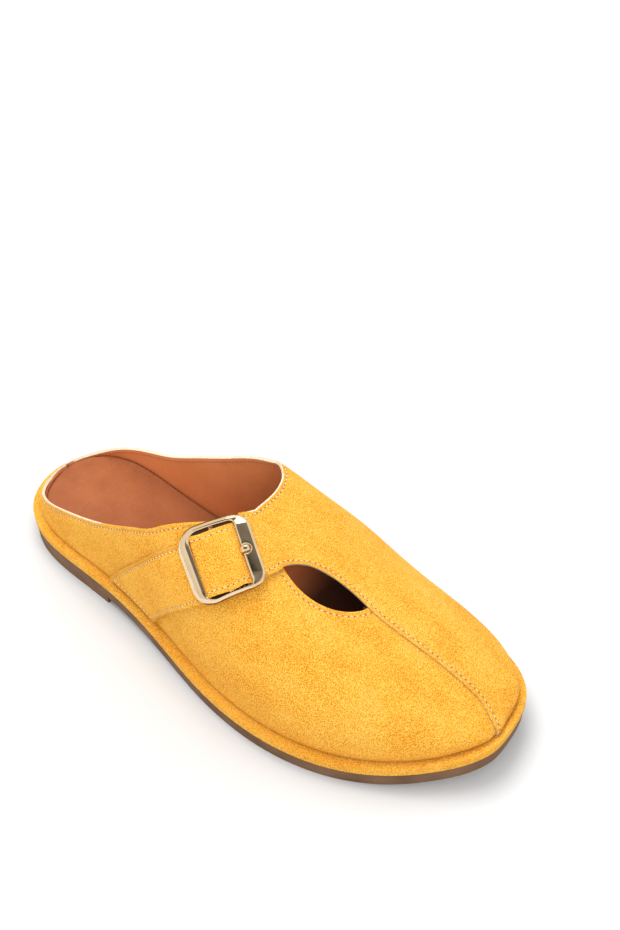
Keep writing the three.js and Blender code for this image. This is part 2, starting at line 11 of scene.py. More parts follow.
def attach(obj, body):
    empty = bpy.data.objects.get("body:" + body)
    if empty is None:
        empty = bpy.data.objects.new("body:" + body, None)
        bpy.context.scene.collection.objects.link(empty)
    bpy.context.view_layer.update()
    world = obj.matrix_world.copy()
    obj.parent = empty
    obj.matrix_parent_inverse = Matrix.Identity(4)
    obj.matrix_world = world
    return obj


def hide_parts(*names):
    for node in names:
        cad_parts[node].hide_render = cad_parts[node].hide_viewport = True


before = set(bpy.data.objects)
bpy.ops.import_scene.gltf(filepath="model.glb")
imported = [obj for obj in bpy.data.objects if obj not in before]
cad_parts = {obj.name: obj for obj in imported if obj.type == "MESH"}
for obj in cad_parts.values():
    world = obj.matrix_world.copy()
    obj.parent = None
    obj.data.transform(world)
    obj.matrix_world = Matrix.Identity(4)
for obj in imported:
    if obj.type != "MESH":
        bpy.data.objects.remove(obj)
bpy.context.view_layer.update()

# ---- camera, floor and light ----
# The shoe stands on a white table top in a soft studio light, seen from above its outer side and toe.

CAMERA_PLACE = (-0.2428, -0.2391, 0.3592)
CAMERA_TURN = {"azimuth": -50.595, "elevation": 39.043, "roll": -1.29}
CAMERA_LENS = 43.2

azimuth, elevation, roll = (math.radians(CAMERA_TURN[name]) for name in ("azimuth", "elevation", "roll"))
backwards = Vector(
    (math.sin(azimuth) * math.cos(elevation), -math.cos(azimuth) * math.cos(elevation), math.sin(elevation))
)
rightwards = Vector((math.cos(azimuth), math.sin(azimuth), 0))
upwards = backwards.cross(rightwards)
level = Matrix((rightwards, upwards, backwards)).transposed()
bpy.ops.object.camera_add(location=CAMERA_PLACE, rotation=(level @ Matrix.Rotation(roll, 3, "Z")).to_euler())
camera = bpy.context.object
camera.data.lens = CAMERA_LENS
camera.data.sensor_width = 36
camera.data.clip_start = 0.01
bpy.context.scene.camera = camera

bpy.context.scene.view_settings.view_transform = "Standard"

# The room is white to the suede. Polished metal mirrors a white room too, with a dark patch overhead.
ROOM_LIGHT = 0.82
ROOM_TINT = (1, 0.95, 0.84)
DARK_PATCH = (-0.05, -0.15, 0.98)
# nearness to the middle of the dark patch, brightness
ROOM_MIRRORED = [(0.0, 0.85), (0.8, 1.0), (0.85, 0.26), (0.95, 0.22), (0.98, 0.15), (0.992, 0.02)]

world = bpy.context.scene.world or bpy.data.worlds.new("studio")
bpy.context.scene.world = world
world.use_nodes = True
room = world.node_tree
diffuse_room = room.nodes["Background"]
diffuse_room.inputs["Color"].default_value = (1, 1, 1, 1)
diffuse_room.inputs["Strength"].default_value = ROOM_LIGHT
mirrored_room = room.nodes.new("ShaderNodeBackground")
nearness = room.nodes.new("ShaderNodeVectorMath")
nearness.operation = "DOT_PRODUCT"
nearness.inputs[1].default_value = DARK_PATCH
room.links.new(room.nodes.new("ShaderNodeTexCoord").outputs["Generated"], nearness.inputs[0])
room_tone = room.nodes.new("ShaderNodeValToRGB")
while len(room_tone.color_ramp.elements) < len(ROOM_MIRRORED):
    room_tone.color_ramp.elements.new(0.5)
for element, (position, brightness) in zip(room_tone.color_ramp.elements, ROOM_MIRRORED):
    element.position = position
    element.color = (*(part * brightness for part in ROOM_TINT), 1)
room.links.new(nearness.outputs["Value"], room_tone.inputs["Fac"])
room.links.new(room_tone.outputs["Color"], mirrored_room.inputs["Color"])
chosen_room = room.nodes.new("ShaderNodeMixShader")
room.links.new(room.nodes.new("ShaderNodeLightPath").outputs["Is Glossy Ray"], chosen_room.inputs[0])
room.links.new(diffuse_room.outputs[0], chosen_room.inputs[1])
room.links.new(mirrored_room.outputs[0], chosen_room.inputs[2])
room.links.new(chosen_room.outputs[0], room.nodes["World Output"].inputs["Surface"])

# name, place, size of the soft box, watts, seen in the polished metal
SOFT_BOXES = [
    ("key_light", (0.15, 0.75, 2.0), 1.3, 31, False),
    ("toe_light", (-0.6, -1.7, 1.4), 1.2, 16, False),
    ("side_light", (-1.7, 0.1, 0.6), 1.0, 7, False),
    ("rim_light", (0.8, 0.4, 0.8), 0.6, 2, False),
    ("window_light", (0.6, 0.36, 1.05), 0.4, 1.2, True),
]
for name, place, size, watts, mirrored in SOFT_BOXES:
    bpy.ops.object.light_add(type="AREA", location=place)
    lamp = bpy.context.object
    lamp.name = name
    lamp.data.size = size
    lamp.data.energy = watts
    lamp.visible_glossy = mirrored
    lamp.rotation_euler = (-Vector(place)).to_track_quat("-Z", "Y").to_euler()

TABLE = {"size": 6, "white": 0.65, "roughness": 0.7}

bpy.ops.mesh.primitive_plane_add(size=TABLE["size"], location=(0, 0, 0))
floor = bpy.context.object
floor.name = "table_top"
paint = bpy.data.materials.new("white_table_top")
paint.use_nodes = True
paint_shader = paint.node_tree.nodes["Principled BSDF"]
paint_shader.inputs["Base Color"].default_value = (TABLE["white"], TABLE["white"], TABLE["white"], 1)
paint_shader.inputs["Roughness"].default_value = TABLE["roughness"]
floor.data.materials.append(paint)

# ---- outsole ----
# The outsole is a 6 mm sheet of brown rubber, cut to the outline of the foot and bent to the arch and toe
# spring. Its edge is ground smooth after it is cemented under the platform.

MM = 0.001
LATERAL, MEDIAL = -1, 1
TOE_TIP = 263
SOLE_CENTRE = 133.6  # middle of its length
SIDE_CENTRE = -2.9  # middle of the widest part, seen from the line through heel and toe
HEEL_LIFT = 3.7
BREAST = 81  # front face of the heel lift
ARCH_END = 156
TREAD_END = 209
TOE_SPRING = 7.3
OUTSOLE = 6
OUTSOLE_INSET = 0.5  # its edge stands this far inside the platform's
CEMENT = 0.1
SOLE_COLUMNS, SOLE_ROWS = 180, 10
OUTLINE_POINTS = 1601
SLOPE_ROUNDS = 80  # in which a curve's slopes settle
SHARP = 50  # edges that turn by more degrees than this are rounded

# Half widths of the sole from the line through heel and toe: along, lateral, medial.
SOLE = np.array(
    [
        (7.2, 7.0, 18.7),
        (18, 20.8, 27.6),
        (38, 29.8, 30.8),
        (65, 33.2, 29.4),
        (95, 36.6, 29.3),
        (125, 43.0, 33.0),
        (155, 50.0, 40.7),
        (185, 52.3, 45.9),
        (212, 47.5, 45.7),
        (235, 36.6, 41.0),
        (249, 25.6, 33.5),
        (257, 17.1, 25.2),
        (261.3, 9.9, 15.7),
    ]
)
BACK_SEAM = (3.9, 7.6)  # along and across, on the sole's edge
TOE_SEAM = (262.9, -2.8)


def smooth_curve(knots, values, period=0):
    """A curve through the values whose bend changes evenly; with a period it closes on itself."""
    knots, values = np.array(knots, float), np.array(values, float)
    if period:
        knots, values = np.append(knots, period), np.append(values, values[0])
    spans = np.diff(knots)
    pitches = np.diff(values) / spans
    slopes = np.zeros(len(values))
    for _ in range(SLOPE_ROUNDS):
        inner = 3 * (spans[1:] * pitches[:-1] + spans[:-1] * pitches[1:])
        inner -= spans[1:] * slopes[:-2] + spans[:-1] * slopes[2:]
        inner /= 2 * (spans[:-1] + spans[1:])
        if period:
            first = 3 * (spans[0] * pitches[-1] + spans[-1] * pitches[0])
            first -= spans[0] * slopes[-2] + spans[-1] * slopes[1]
            first /= 2 * (spans[-1] + spans[0])
            last = first
        else:
            first, last = (3 * pitches[0] - slopes[1]) / 2, (3 * pitches[-1] - slopes[-2]) / 2
        slopes = np.concatenate([[first], inner, [last]])

    def curve(position):
        at = np.mod(position, period) if period else np.clip(position, knots[0], knots[-1])
        i = np.clip(np.searchsorted(knots, at, side="right") - 1, 0, len(spans) - 1)
        w = (at - knots[i]) / spans[i]
        ends = values[i] * (1 + 2 * w) * (1 - w) ** 2 + values[i + 1] * w * w * (3 - 2 * w)
        return ends + spans[i] * w * (1 - w) * (slopes[i] * (1 - w) - slopes[i + 1] * w)

    return curve


def sole_sides():
    """Both halves of the outline from back seam to toe seam: share of the way, place, outward direction."""
    medial_rows = [(along, medial) for along, _, medial in SOLE]
    lateral_rows = [(along, -lateral) for along, lateral, _ in SOLE[::-1]]
    loop = np.array([BACK_SEAM, *medial_rows, TOE_SEAM, *lateral_rows])
    chords = np.hypot(*(np.roll(loop, -1, axis=0) - loop).T)
    knots = np.concatenate([[0], np.cumsum(np.sqrt(chords))])
    curves = [smooth_curve(knots[:-1], loop[:, axis], knots[-1]) for axis in (0, 1)]
    toe_knot = knots[len(SOLE) + 1]
    halves = {}
    for side, start in ((MEDIAL, 0), (LATERAL, knots[-1])):
        along, across = (curve(np.linspace(start, toe_knot, OUTLINE_POINTS)) for curve in curves)
        da, dx = np.gradient(along), np.gradient(across)
        stride = np.hypot(da, dx) * side
        share = np.concatenate([[0], np.cumsum(np.hypot(np.diff(along), np.diff(across)))])
        halves[side] = (share / share[-1], along, across, -dx / stride, da / stride)
    return halves


SIDES = sole_sides()


def edge_point(share, side, inset):
    """A point on the outline moved inwards; share runs from 0 at the back seam to 1 at the toe seam."""
    found = {}
    for half, (shares, *columns) in SIDES.items():
        along, across, out_along, out_across = (np.interp(share, shares, column) for column in columns)
        found[half] = (along - inset * out_along, across - inset * out_across)
    return tuple(np.where(side > 0, found[MEDIAL][axis], found[LATERAL][axis]) for axis in (0, 1))


def smoothstep(low, high, value):
    w = np.clip((value - low) / (high - low), 0, 1)
    return w * w * (3 - 2 * w)


def sole_underside(along):
    spring = np.clip((along - TREAD_END) / (TOE_TIP - TREAD_END), 0, 1)
    return HEEL_LIFT * (1 - smoothstep(BREAST, ARCH_END, along)) + TOE_SPRING * spring**2


def in_metres(along, across, height):
    return np.column_stack([across - SIDE_CENTRE, SOLE_CENTRE - along, height]) * MM


def corners_of(piece):
    return np.array([vertex.co for vertex in piece.data.vertices])


def move_corners(piece, points):
    """Moves a piece's corners to points given along, across and up."""
    piece.data.vertices.foreach_set("co", in_metres(*points).ravel())
    piece.data.update()


def shaped_grid(name, columns, rows, shape):
    """A grid whose points shape() moves; it gets each point's place in the grid, both ways from 0 to 1."""
    bpy.ops.object.select_all(action="DESELECT")
    bpy.ops.mesh.primitive_grid_add(x_subdivisions=columns, y_subdivisions=rows, size=2)
    piece = bpy.context.object
    piece.name = name
    x, y, _ = corners_of(piece).T
    move_corners(piece, shape((x + 1) / 2, (y + 1) / 2))
    return piece


def select(*pieces):
    """Selects the pieces alone and makes the first one active."""
    bpy.ops.object.select_all(action="DESELECT")
    for piece in pieces:
        piece.select_set(True)
    bpy.context.view_layer.objects.active = pieces[0]


def edit(piece, *steps):
    """Runs edit-mode steps on the whole of one piece; each is an operator and its settings."""
    select(piece)
    bpy.ops.object.mode_set(mode="EDIT")
    bpy.ops.mesh.select_all(action="SELECT")
    for operator, settings in steps:
        operator(**settings)
    bpy.ops.object.mode_set(mode="OBJECT")


# Two such steps: points nearer than a hundredth of a millimetre become one, and faces turn to the outside.
WELD = (bpy.ops.mesh.remove_doubles, {"threshold": 1e-5})
FACE_OUT = (bpy.ops.mesh.normals_make_consistent, {"inside": False})


def finish_with(piece, kind, **settings):
    """Adds a modifier and applies it."""
    bpy.context.view_layer.objects.active = piece
    modifier = piece.modifiers.new(kind.title(), kind)
    for name, value in settings.items():
        setattr(modifier, name, value)
    bpy.ops.object.modifier_apply(modifier=modifier.name)


def round_edges(piece, width, segments):
    limit = math.radians(SHARP)
    finish_with(piece, "BEVEL", width=width * MM, segments=segments, limit_method="ANGLE", angle_limit=limit)


def smooth(piece, angle=35):
    select(piece)
    bpy.ops.object.shade_smooth_by_angle(angle=math.radians(angle))


def sole_plate(name, inset, low, high, end=1.0):
    """A closed plate under the foot, between two heights above the sole's underside."""

    def shape(u, v):
        share = end * u
        outer, inner = edge_point(share, LATERAL, inset), edge_point(share, MEDIAL, inset)
        along, across = ((1 - v) * outer[axis] + v * inner[axis] for axis in (0, 1))
        return along, across, low(along)

    plate = shaped_grid(name, SOLE_COLUMNS, SOLE_ROWS, shape)
    edit(plate, WELD, (bpy.ops.mesh.extrude_region, {}))
    lifted = [vertex for vertex in plate.data.vertices if vertex.select]
    for vertex in lifted:
        along = SOLE_CENTRE - vertex.co.y / MM
        vertex.co.z = high(along) * MM
    edit(plate, FACE_OUT)
    return plate


def new_material(name, roughness):
    """A material with its shader and the object's own coordinates."""
    material = bpy.data.materials.new(name)
    material.use_nodes = True
    tree = material.node_tree
    shader = tree.nodes["Principled BSDF"]
    shader.inputs["Roughness"].default_value = roughness
    place = tree.nodes.new("ShaderNodeTexCoord").outputs["Object"]
    return material, tree, shader, place


def noise(tree, place, size, detail=2, roughness=0.5):
    """Cloudy noise whose blotches are about size millimetres across."""
    node = tree.nodes.new("ShaderNodeTexNoise")
    node.inputs["Scale"].default_value = 1 / (size * MM)
    node.inputs["Detail"].default_value = detail
    node.inputs["Roughness"].default_value = roughness
    tree.links.new(place, node.inputs["Vector"])
    return node.outputs["Fac"]


def ramp(tree, value, *stops):
    """Colours, or shades of grey, between positions of a value."""
    node = tree.nodes.new("ShaderNodeValToRGB")
    while len(node.color_ramp.elements) < len(stops):
        node.color_ramp.elements.new(0.5)
    for element, (position, colour) in zip(node.color_ramp.elements, stops):
        element.position = position
        element.color = (*colour, 1) if isinstance(colour, tuple) else (colour, colour, colour, 1)
    tree.links.new(value, node.inputs["Fac"])
    return node.outputs["Color"]


def mix(tree, share, first, second):
    """Mixes two colours; share is a socket or a number."""
    node = tree.nodes.new("ShaderNodeMix")
    node.data_type = "RGBA"
    for socket, value in ((node.inputs[0], share), (node.inputs[6], first), (node.inputs[7], second)):
        if isinstance(value, bpy.types.NodeSocket):
            tree.links.new(value, socket)
        else:
            socket.default_value = (*value, 1) if isinstance(value, tuple) else value
    return node.outputs[2]


def bump(tree, shader, *layers):
    """Bump layers on a shader, each a height socket and its depth in millimetres."""
    normal = None
    for height, depth in layers:
        node = tree.nodes.new("ShaderNodeBump")
        node.inputs["Distance"].default_value = depth * MM
        tree.links.new(height, node.inputs["Height"])
        if normal:
            tree.links.new(normal, node.inputs["Normal"])
        normal = node.outputs["Normal"]
    tree.links.new(normal, shader.inputs["Normal"])


SOLE_DARK, SOLE_LIGHT = (0.13, 0.07, 0.038), (0.19, 0.108, 0.062)


def sole_rubber():
    material, tree, shader, place = new_material("brown_sole_rubber", 0.6)
    cloud = noise(tree, place, 14, 3)
    tree.links.new(ramp(tree, cloud, (0.3, SOLE_DARK), (0.7, SOLE_LIGHT)), shader.inputs["Base Color"])
    shader.inputs["Specular IOR Level"].default_value = 0.1
    bump(tree, shader, (noise(tree, place, 2.5), 0.12), (noise(tree, place, 0.35), 0.05))
    return material


rubber = sole_rubber()
outsole = sole_plate(
    "outsole_sheet", OUTSOLE_INSET, sole_underside, lambda along: sole_underside(along) + OUTSOLE - CEMENT
)
round_edges(outsole, 0.5, segments=3)
outsole.data.materials.append(rubber)
smooth(outsole)
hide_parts("outsole")
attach(outsole, "root")

# ---- heel lift ----
# A low block of the same rubber is cemented under the back third of the outsole, and cut off straight at its
# front.

HEEL_INSET = 0.6
HEEL_SPARE = 0.03  # as a share of the outline, the length to spare that is cut off

heel_end = float(np.interp(BREAST, SIDES[LATERAL][1], SIDES[LATERAL][0]))
heel = sole_plate(
    "heel_block",
    HEEL_INSET,
    lambda along: 0 * along,
    lambda along: 0 * along + HEEL_LIFT - CEMENT,
    end=heel_end + HEEL_SPARE,
)
breast_plane = {"plane_co": (0, (SOLE_CENTRE - BREAST) * MM, 0), "plane_no": (0, -1, 0)}
edit(
    heel,
    (bpy.ops.mesh.bisect, {**breast_plane, "clear_outer": True, "use_fill": True}),
    (bpy.ops.mesh.select_all, {"action": "SELECT"}),
    FACE_OUT,
)
round_edges(heel, 0.4, segments=3)
heel.data.materials.append(rubber)
smooth(heel)
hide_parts("heel_lift")
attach(heel, "root")

# ---- platform ----
# A thin platform is wrapped in the same yellow suede as the upper, and its soft rounded edge stands out as a
# rand.

MIDSOLE = 3.2
GAP = 0.3

SUEDE_DEEP, SUEDE_MAIN, SUEDE_LIGHT = (0.73, 0.28, 0.012), (0.8, 0.36, 0.028), (0.85, 0.42, 0.055)
NAP_DARK, NAP_LIGHT = (0.33, 0.1, 0.003), (1, 0.66, 0.17)
# The colour of painted shade on the suede, at the feather line and along the stitches.
SUEDE_SHADE = (0.42, 0.15, 0.01)
BRUSHED = (1.3, 0.6, 1)  # the nap is brushed along the foot


def suede():
    """Napped leather: brushed patches of light and dark, a fine fleecy pile, and painted shade where pieces
    meet.
    """
    material, tree, shader, place = new_material("yellow_suede", 0.95)
    brushed = tree.nodes.new("ShaderNodeMapping")
    brushed.inputs["Scale"].default_value = BRUSHED
    tree.links.new(place, brushed.inputs["Vector"])
    strokes = noise(tree, brushed.outputs["Vector"], 16, 4, 0.65)
    patches = ramp(tree, strokes, (0.36, SUEDE_DEEP), (0.5, SUEDE_MAIN), (0.66, SUEDE_LIGHT))
    pile = noise(tree, place, 0.42, 1, 0.6)
    colour = mix(tree, 0.5, patches, ramp(tree, pile, (0.38, NAP_DARK), (0.5, SUEDE_MAIN), (0.62, NAP_LIGHT)))
    # Painted shade, as much as the points' "shaded" attribute says.
    painted_shade_share = tree.nodes.new("ShaderNodeAttribute")
    painted_shade_share.attribute_name = "shaded"
    colour = mix(tree, painted_shade_share.outputs["Fac"], colour, SUEDE_SHADE)
    tree.links.new(colour, shader.inputs["Base Color"])
    shader.inputs["Specular IOR Level"].default_value = 0.1
    shader.inputs["Sheen Weight"].default_value = 0.12
    shader.inputs["Sheen Roughness"].default_value = 0.5
    shader.inputs["Sheen Tint"].default_value = (1, 0.7, 0.25, 1)
    bump(tree, shader, (noise(tree, place, 9, 2), 0.35), (pile, 0.4))
    return material


FLECKS = 0.7  # how bright the flecks are, as a share of the edge's own colour


def plain_edge(name, colour, roughness):
    """A cut or frayed edge, thread, or painted shade: one colour with darker flecks."""
    material, tree, shader, place = new_material(name, roughness)
    darker = tuple(FLECKS * value for value in colour)
    flecks = noise(tree, place, 0.8, 3)
    tree.links.new(ramp(tree, flecks, (0.35, darker), (0.65, colour)), shader.inputs["Base Color"])
    return material


FRAYED = (0.34, 0.2, 0.1)
FRAYED_EDGE = 0.45  # how high the frayed edge stands above the outsole

yellow_suede = suede()
platform = sole_plate(
    "wrapped_platform",
    0,
    lambda along: sole_underside(along) + OUTSOLE,
    lambda along: sole_underside(along) + OUTSOLE + MIDSOLE,
)
round_edges(platform, 1.5, segments=6)
platform.data.materials.append(yellow_suede)
platform.data.materials.append(plain_edge("frayed_suede_edge", FRAYED, 0.95))
for face in platform.data.polygons:
    along = SOLE_CENTRE - face.center.y / MM
    if face.center.z / MM < sole_underside(along) + OUTSOLE + FRAYED_EDGE:
        face.material_index = 1
smooth(platform)
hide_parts("midsole")
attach(platform, "root")

# ---- the last ----
# Upper, lining and footbed are all shaped over one last: rounded spokes rise from the feather line, where
# upper and platform meet, to a crown line over the top of the foot.

WALL = 1.8
SHELF = 3.8  # how far the platform stands proud of the upper
BULGE = 0.03
SLOPE_REACH = 0.5  # the crown's slope is taken over this much each way

# The crown line and the roundness of each side: along, height, across, lateral, medial.
CROWN = np.array(
    [
        (28, 46, 4, 1.5, 1.5),
        (55, 70, 1, 2.3, 2.3),
        (85, 82, -2, 2.6, 2.7),
        (115, 80.3, -3, 2.7, 4.4),
        (142, 70.2, -3.9, 2.7, 3.6),
        (160, 63.5, -4, 2.75, 2.9),
        (180, 54.4, -2.7, 2.8, 2.55),
        (200, 46, -3, 2.8, 2.75),
        (216, 40, -2, 2.8, 2.8),
    ]
)
crown_height, crown_across, lateral_power, medial_power = (
    smooth_curve(CROWN[:, 0], CROWN[:, column]) for column in (1, 2, 3, 4)
)
CROWN_START, CROWN_END = CROWN[0, 0], CROWN[-1, 0]


def shelf_height(along):
    return sole_underside(along) + OUTSOLE + MIDSOLE


def crown_station(share):
    return CROWN_START + (CROWN_END - CROWN_START) * (1 - np.cos(math.pi * share)) / 2


def crown_share(along):
    return math.acos(1 - 2 * (along - CROWN_START) / (CROWN_END - CROWN_START)) / math.pi


def on_last(share, turn, grow=0.0):
    """A point of the last. Turn is 0 at the inner feather line, 90 on the crown and 180 at the outer line."""
    side = np.where(turn <= 90, MEDIAL, LATERAL)
    angle = np.radians(np.minimum(turn, 180 - turn))
    foot_along, foot_across = edge_point(share, side, SHELF - grow)
    station = crown_station(share)
    power = np.where(side > 0, medial_power(station), lateral_power(station))
    cosine, sine = np.maximum(np.cos(angle), 0), np.maximum(np.sin(angle), 0)
    size = (cosine**power + sine**power) ** (1 / power)
    reach, lift = cosine / size, sine / size
    swell = reach * (1 + BULGE * 4 * lift * (1 - lift))
    base = shelf_height(foot_along) + GAP
    before = np.maximum(station - SLOPE_REACH, CROWN_START)
    after = np.minimum(station + SLOPE_REACH, CROWN_END)
    slope = (crown_height(after) - crown_height(before)) / (after - before)
    height = base + (crown_height(station) + grow - base) * lift
    height = height + slope * (foot_along - station) * reach * lift
    along = station + (foot_along - station) * swell
    across = crown_across(station)
    return along, across + (foot_across - across) * swell, height


# ---- footbed ----
# The foot stands on a sheet of smooth tan leather over a thin bed, moulded up round the heel and the arch and
# glued on the platform inside the upper.

FOOTBED = 2
FOOTBED_LEATHER = 1.6
FOOTBED_COLUMNS, FOOTBED_ROWS = 150, 40
BED_GAP = 1.0
CURL_LIMIT = 60  # the turn up to which the curled edge is looked for
HALVINGS = 20  # rounds of a search by halving
TINY = 1e-6
CUP_POWER = 4
HEEL_SEAT = {"along": 32, "across": 1.6, "reach": 22}

# How far the footbed's edge curls up: along, lateral, medial.
CUP = np.array(
    [
        (0, 1, 1),
        (14, 2.5, 3),
        (40, 6, 8),
        (70, 4.5, 7),
        (100, 2, 3),
        (130, 0.5, 0.5),
        (262, 0, 0),
    ]
)
cup_lateral, cup_medial = (smooth_curve(CUP[:, 0], CUP[:, column]) for column in (1, 2))


def footbed_top(along, side, spread):
    cup = np.maximum(np.where(side > 0, cup_medial(along), cup_lateral(along)), 0)
    return shelf_height(along) + GAP + FOOTBED + cup * spread**CUP_POWER


def bed_edge(share, side):
    """Where the footbed's curled edge touches the inside of the upper."""
    low, high = np.zeros_like(share), np.full_like(share, CURL_LIMIT)
    for _ in range(HALVINGS):
        middle = (low + high) / 2
        along, _, height = on_last(share, np.where(side > 0, middle, 180 - middle), -WALL - BED_GAP)
        under = height < footbed_top(along, side, 1)
        low, high = np.where(under, middle, low), np.where(under, high, middle)
    return on_last(share, np.where(side > 0, low, 180 - low), -WALL - BED_GAP)


def footbed_shape(u, v):
    part = (1 - np.cos(math.pi * v)) / 2
    outer, inner = bed_edge(u, np.full_like(u, LATERAL)), bed_edge(u, np.full_like(u, MEDIAL))
    along, across = (outer[axis] + (inner[axis] - outer[axis]) * part for axis in (0, 1))
    inset = SHELF + WALL + BED_GAP
    back = np.maximum(HEEL_SEAT["along"] - along, 0) / (HEEL_SEAT["along"] - BACK_SEAM[0] - inset)
    aside = np.where(back > 0, (across - HEEL_SEAT["across"]) / HEEL_SEAT["reach"], 2 * part - 1)
    height = footbed_top(along, np.sign(aside), np.minimum(np.hypot(back, aside), 1))
    height = np.where(v < TINY, outer[2], np.where(v > 1 - TINY, inner[2], height))
    return along, across, height


TAN_DEEP, TAN_MAIN, TAN_LIGHT = (0.27, 0.076, 0.026), (0.35, 0.106, 0.035), (0.42, 0.134, 0.047)
# Painted shade darkens the leather into the toe, between these places on the object's Y axis in millimetres.
PAINTED_TOE_SHADE = {"start": -8, "end": -26, "depth": 0.93, "colour": (0.03, 0.011, 0.007)}


def tan_leather(name, deep, main, light, roughness):
    """Smooth leather with a fine pebble grain, cloudy dye and a few pores; painted shade darkens it into the
    toe.
    """
    material, tree, shader, place = new_material(name, roughness)
    dye = ramp(tree, noise(tree, place, 30, 4, 0.6), (0.3, deep), (0.5, main), (0.72, light))
    speckle = ramp(tree, noise(tree, place, 1.5, 3), (0.3, deep), (0.7, light))
    parts = tree.nodes.new("ShaderNodeSeparateXYZ")
    tree.links.new(place, parts.inputs[0])
    towards_toe = tree.nodes.new("ShaderNodeMapRange")
    towards_toe.inputs["From Min"].default_value = PAINTED_TOE_SHADE["start"] * MM
    towards_toe.inputs["From Max"].default_value = PAINTED_TOE_SHADE["end"] * MM
    tree.links.new(parts.outputs["Y"], towards_toe.inputs["Value"])
    shade = tree.nodes.new("ShaderNodeMath")
    shade.operation = "MULTIPLY"
    shade.inputs[1].default_value = PAINTED_TOE_SHADE["depth"]
    tree.links.new(towards_toe.outputs["Result"], shade.inputs[0])
    # Painted shade: the colour turns dark by place towards the toe, for the footbed and the lining alike.
    colour = mix(tree, shade.outputs[0], mix(tree, 0.2, dye, speckle), PAINTED_TOE_SHADE["colour"])
    tree.links.new(colour, shader.inputs["Base Color"])
    grain = tree.nodes.new("ShaderNodeTexVoronoi")
    grain.inputs["Scale"].default_value = 1 / (0.8 * MM)
    tree.links.new(place, grain.inputs["Vector"])
    bump(tree, shader, (noise(tree, place, 12, 2), 0.3), (grain.outputs["Distance"], 0.05))
    shader.inputs["Specular IOR Level"].default_value = 0.2
    return material


footbed = shaped_grid("leather_footbed", FOOTBED_COLUMNS, FOOTBED_ROWS, footbed_shape)
edit(footbed, WELD)
finish_with(footbed, "SOLIDIFY", thickness=FOOTBED_LEATHER * MM, offset=-1)
footbed.data.materials.append(tan_leather("tan_footbed_leather", TAN_DEEP, TAN_MAIN, TAN_LIGHT, 0.55))
smooth(footbed, angle=60)
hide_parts("insole")
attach(footbed, "root")

# ---- pattern of the upper ----
# Two panels are cut for the upper. Their lines are drawn on the last as a share of the way from heel to toe
# and a turn over the foot: the topline, the leaf-shaped cut-out, the strap and the seam down the toe.

# Height of the topline seen from the side: along, lateral, medial.
COLLAR = np.array(
    [
        (0, 17.5, 17.5),
        (10, 18, 18),
        (20, 21.5, 22),
        (33, 27, 28.5),
        (50, 33.5, 35),
        (70, 40, 41.7),
        (90, 48.6, 51.8),
        (107, 57, 59.6),
        (120, 61, 64.8),
        (146, 63, 65.7),
    ]
)
collar_lateral, collar_medial = (smooth_curve(COLLAR[:, 0], COLLAR[:, column]) for column in (1, 2))
THROAT = {"front": 145.6, "back": 104, "across": -1.3, "soften": 1.5}
THROAT_WIDTH = {LATERAL: 31.5, MEDIAL: 31.6}
THROAT_POWER = {LATERAL: 2, MEDIAL: 2.8}
THROAT_SHARE = crown_share(THROAT["front"])
FEATHER_TURN = {LATERAL: 180.0, MEDIAL: 0.0}
SHARE_STEP, TURN_STEP = 1e-4, 1e-2  # over which slopes are measured
PLAN_STEPS, BUCKLE_STEPS = 12, 8  # rounds of the two searches
CUT_GUESS = 100.0  # the turn at which the search for the cut-out starts
CUT_POINTS, RIM_POINTS, SEAM_POINTS, STRAP_POINTS, SHORT_LINE_POINTS = 61, 300, 80, 200, 60


def openness(along, across, height, side):
    """Positive inside the foot's opening: above the collar's line and within the throat's oval."""
    width, power = THROAT_WIDTH[side], THROAT_POWER[side]
    ahead = np.maximum(along - THROAT["back"], 0) / (THROAT["front"] - THROAT["back"])
    aside = np.maximum((across - THROAT["across"]) * side, 0) / width
    oval = (1 - (ahead**power + aside**power) ** (1 / power)) * width
    collar = (collar_medial if side > 0 else collar_lateral)(np.clip(along, 0, THROAT["front"]))
    above = height - collar
    return (above + oval - np.hypot(above - oval, THROAT["soften"])) / 2


def rim_turn(share, side):
    """The turn at which each spoke meets the topline."""
    rises = np.linspace(0, 90, 361)
    turn = (lambda rise: rise) if side > 0 else (lambda rise: 180 - rise)
    grid_share, grid_rise = np.meshgrid(share, rises, indexing="ij")
    is_open = openness(*on_last(grid_share, turn(grid_rise)), side) > 0
    first = np.where(is_open.any(axis=1), is_open.argmax(axis=1), len(rises) - 1)
    low, high = rises[np.maximum(first - 1, 0)], rises[first]
    for _ in range(HALVINGS):
        middle = (low + high) / 2
        inside = openness(*on_last(share, turn(middle)), side) > 0
        low, high = np.where(inside, low, middle), np.where(inside, middle, high)
    return turn(low)


def step_towards(wanted, place, share, turn):
    """One step of a search for the share and turn at which place() gives the wanted pair."""
    here = place(share, turn)
    by_share, by_turn = place(share + SHARE_STEP, turn), place(share, turn + TURN_STEP)
    a, c = ((by_share[axis] - here[axis]) / SHARE_STEP for axis in (0, 1))
    b, d = ((by_turn[axis] - here[axis]) / TURN_STEP for axis in (0, 1))
    miss, miss_aside = (wanted[axis] - here[axis] for axis in (0, 1))
    share = share + (d * miss - b * miss_aside) / (a * d - b * c)
    turn = turn + (a * miss_aside - c * miss) / (a * d - b * c)
    return share, turn


def distances_along(points):
    """How far each point lies along the line through all of them."""
    return np.concatenate([[0], np.cumsum(np.linalg.norm(np.diff(points, axis=0), axis=1))])


def evenly(line, count, parts=None):
    """Draws a line of shares and turns again with evenly spaced points, or at given parts of its length."""
    share, turn = line
    length = distances_along(np.column_stack(on_last(share, turn)))
    wanted = (np.linspace(0, 1, count + 1) if parts is None else np.array(parts)) * length[-1]
    return np.interp(wanted, length, share), np.interp(wanted, length, turn)


def join_lines(*lines):
    """One line from several that follow each other; shared corners are kept once."""
    first, *rest = lines
    return tuple(np.concatenate([first[axis], *(line[axis][1:] for line in rest)]) for axis in (0, 1))


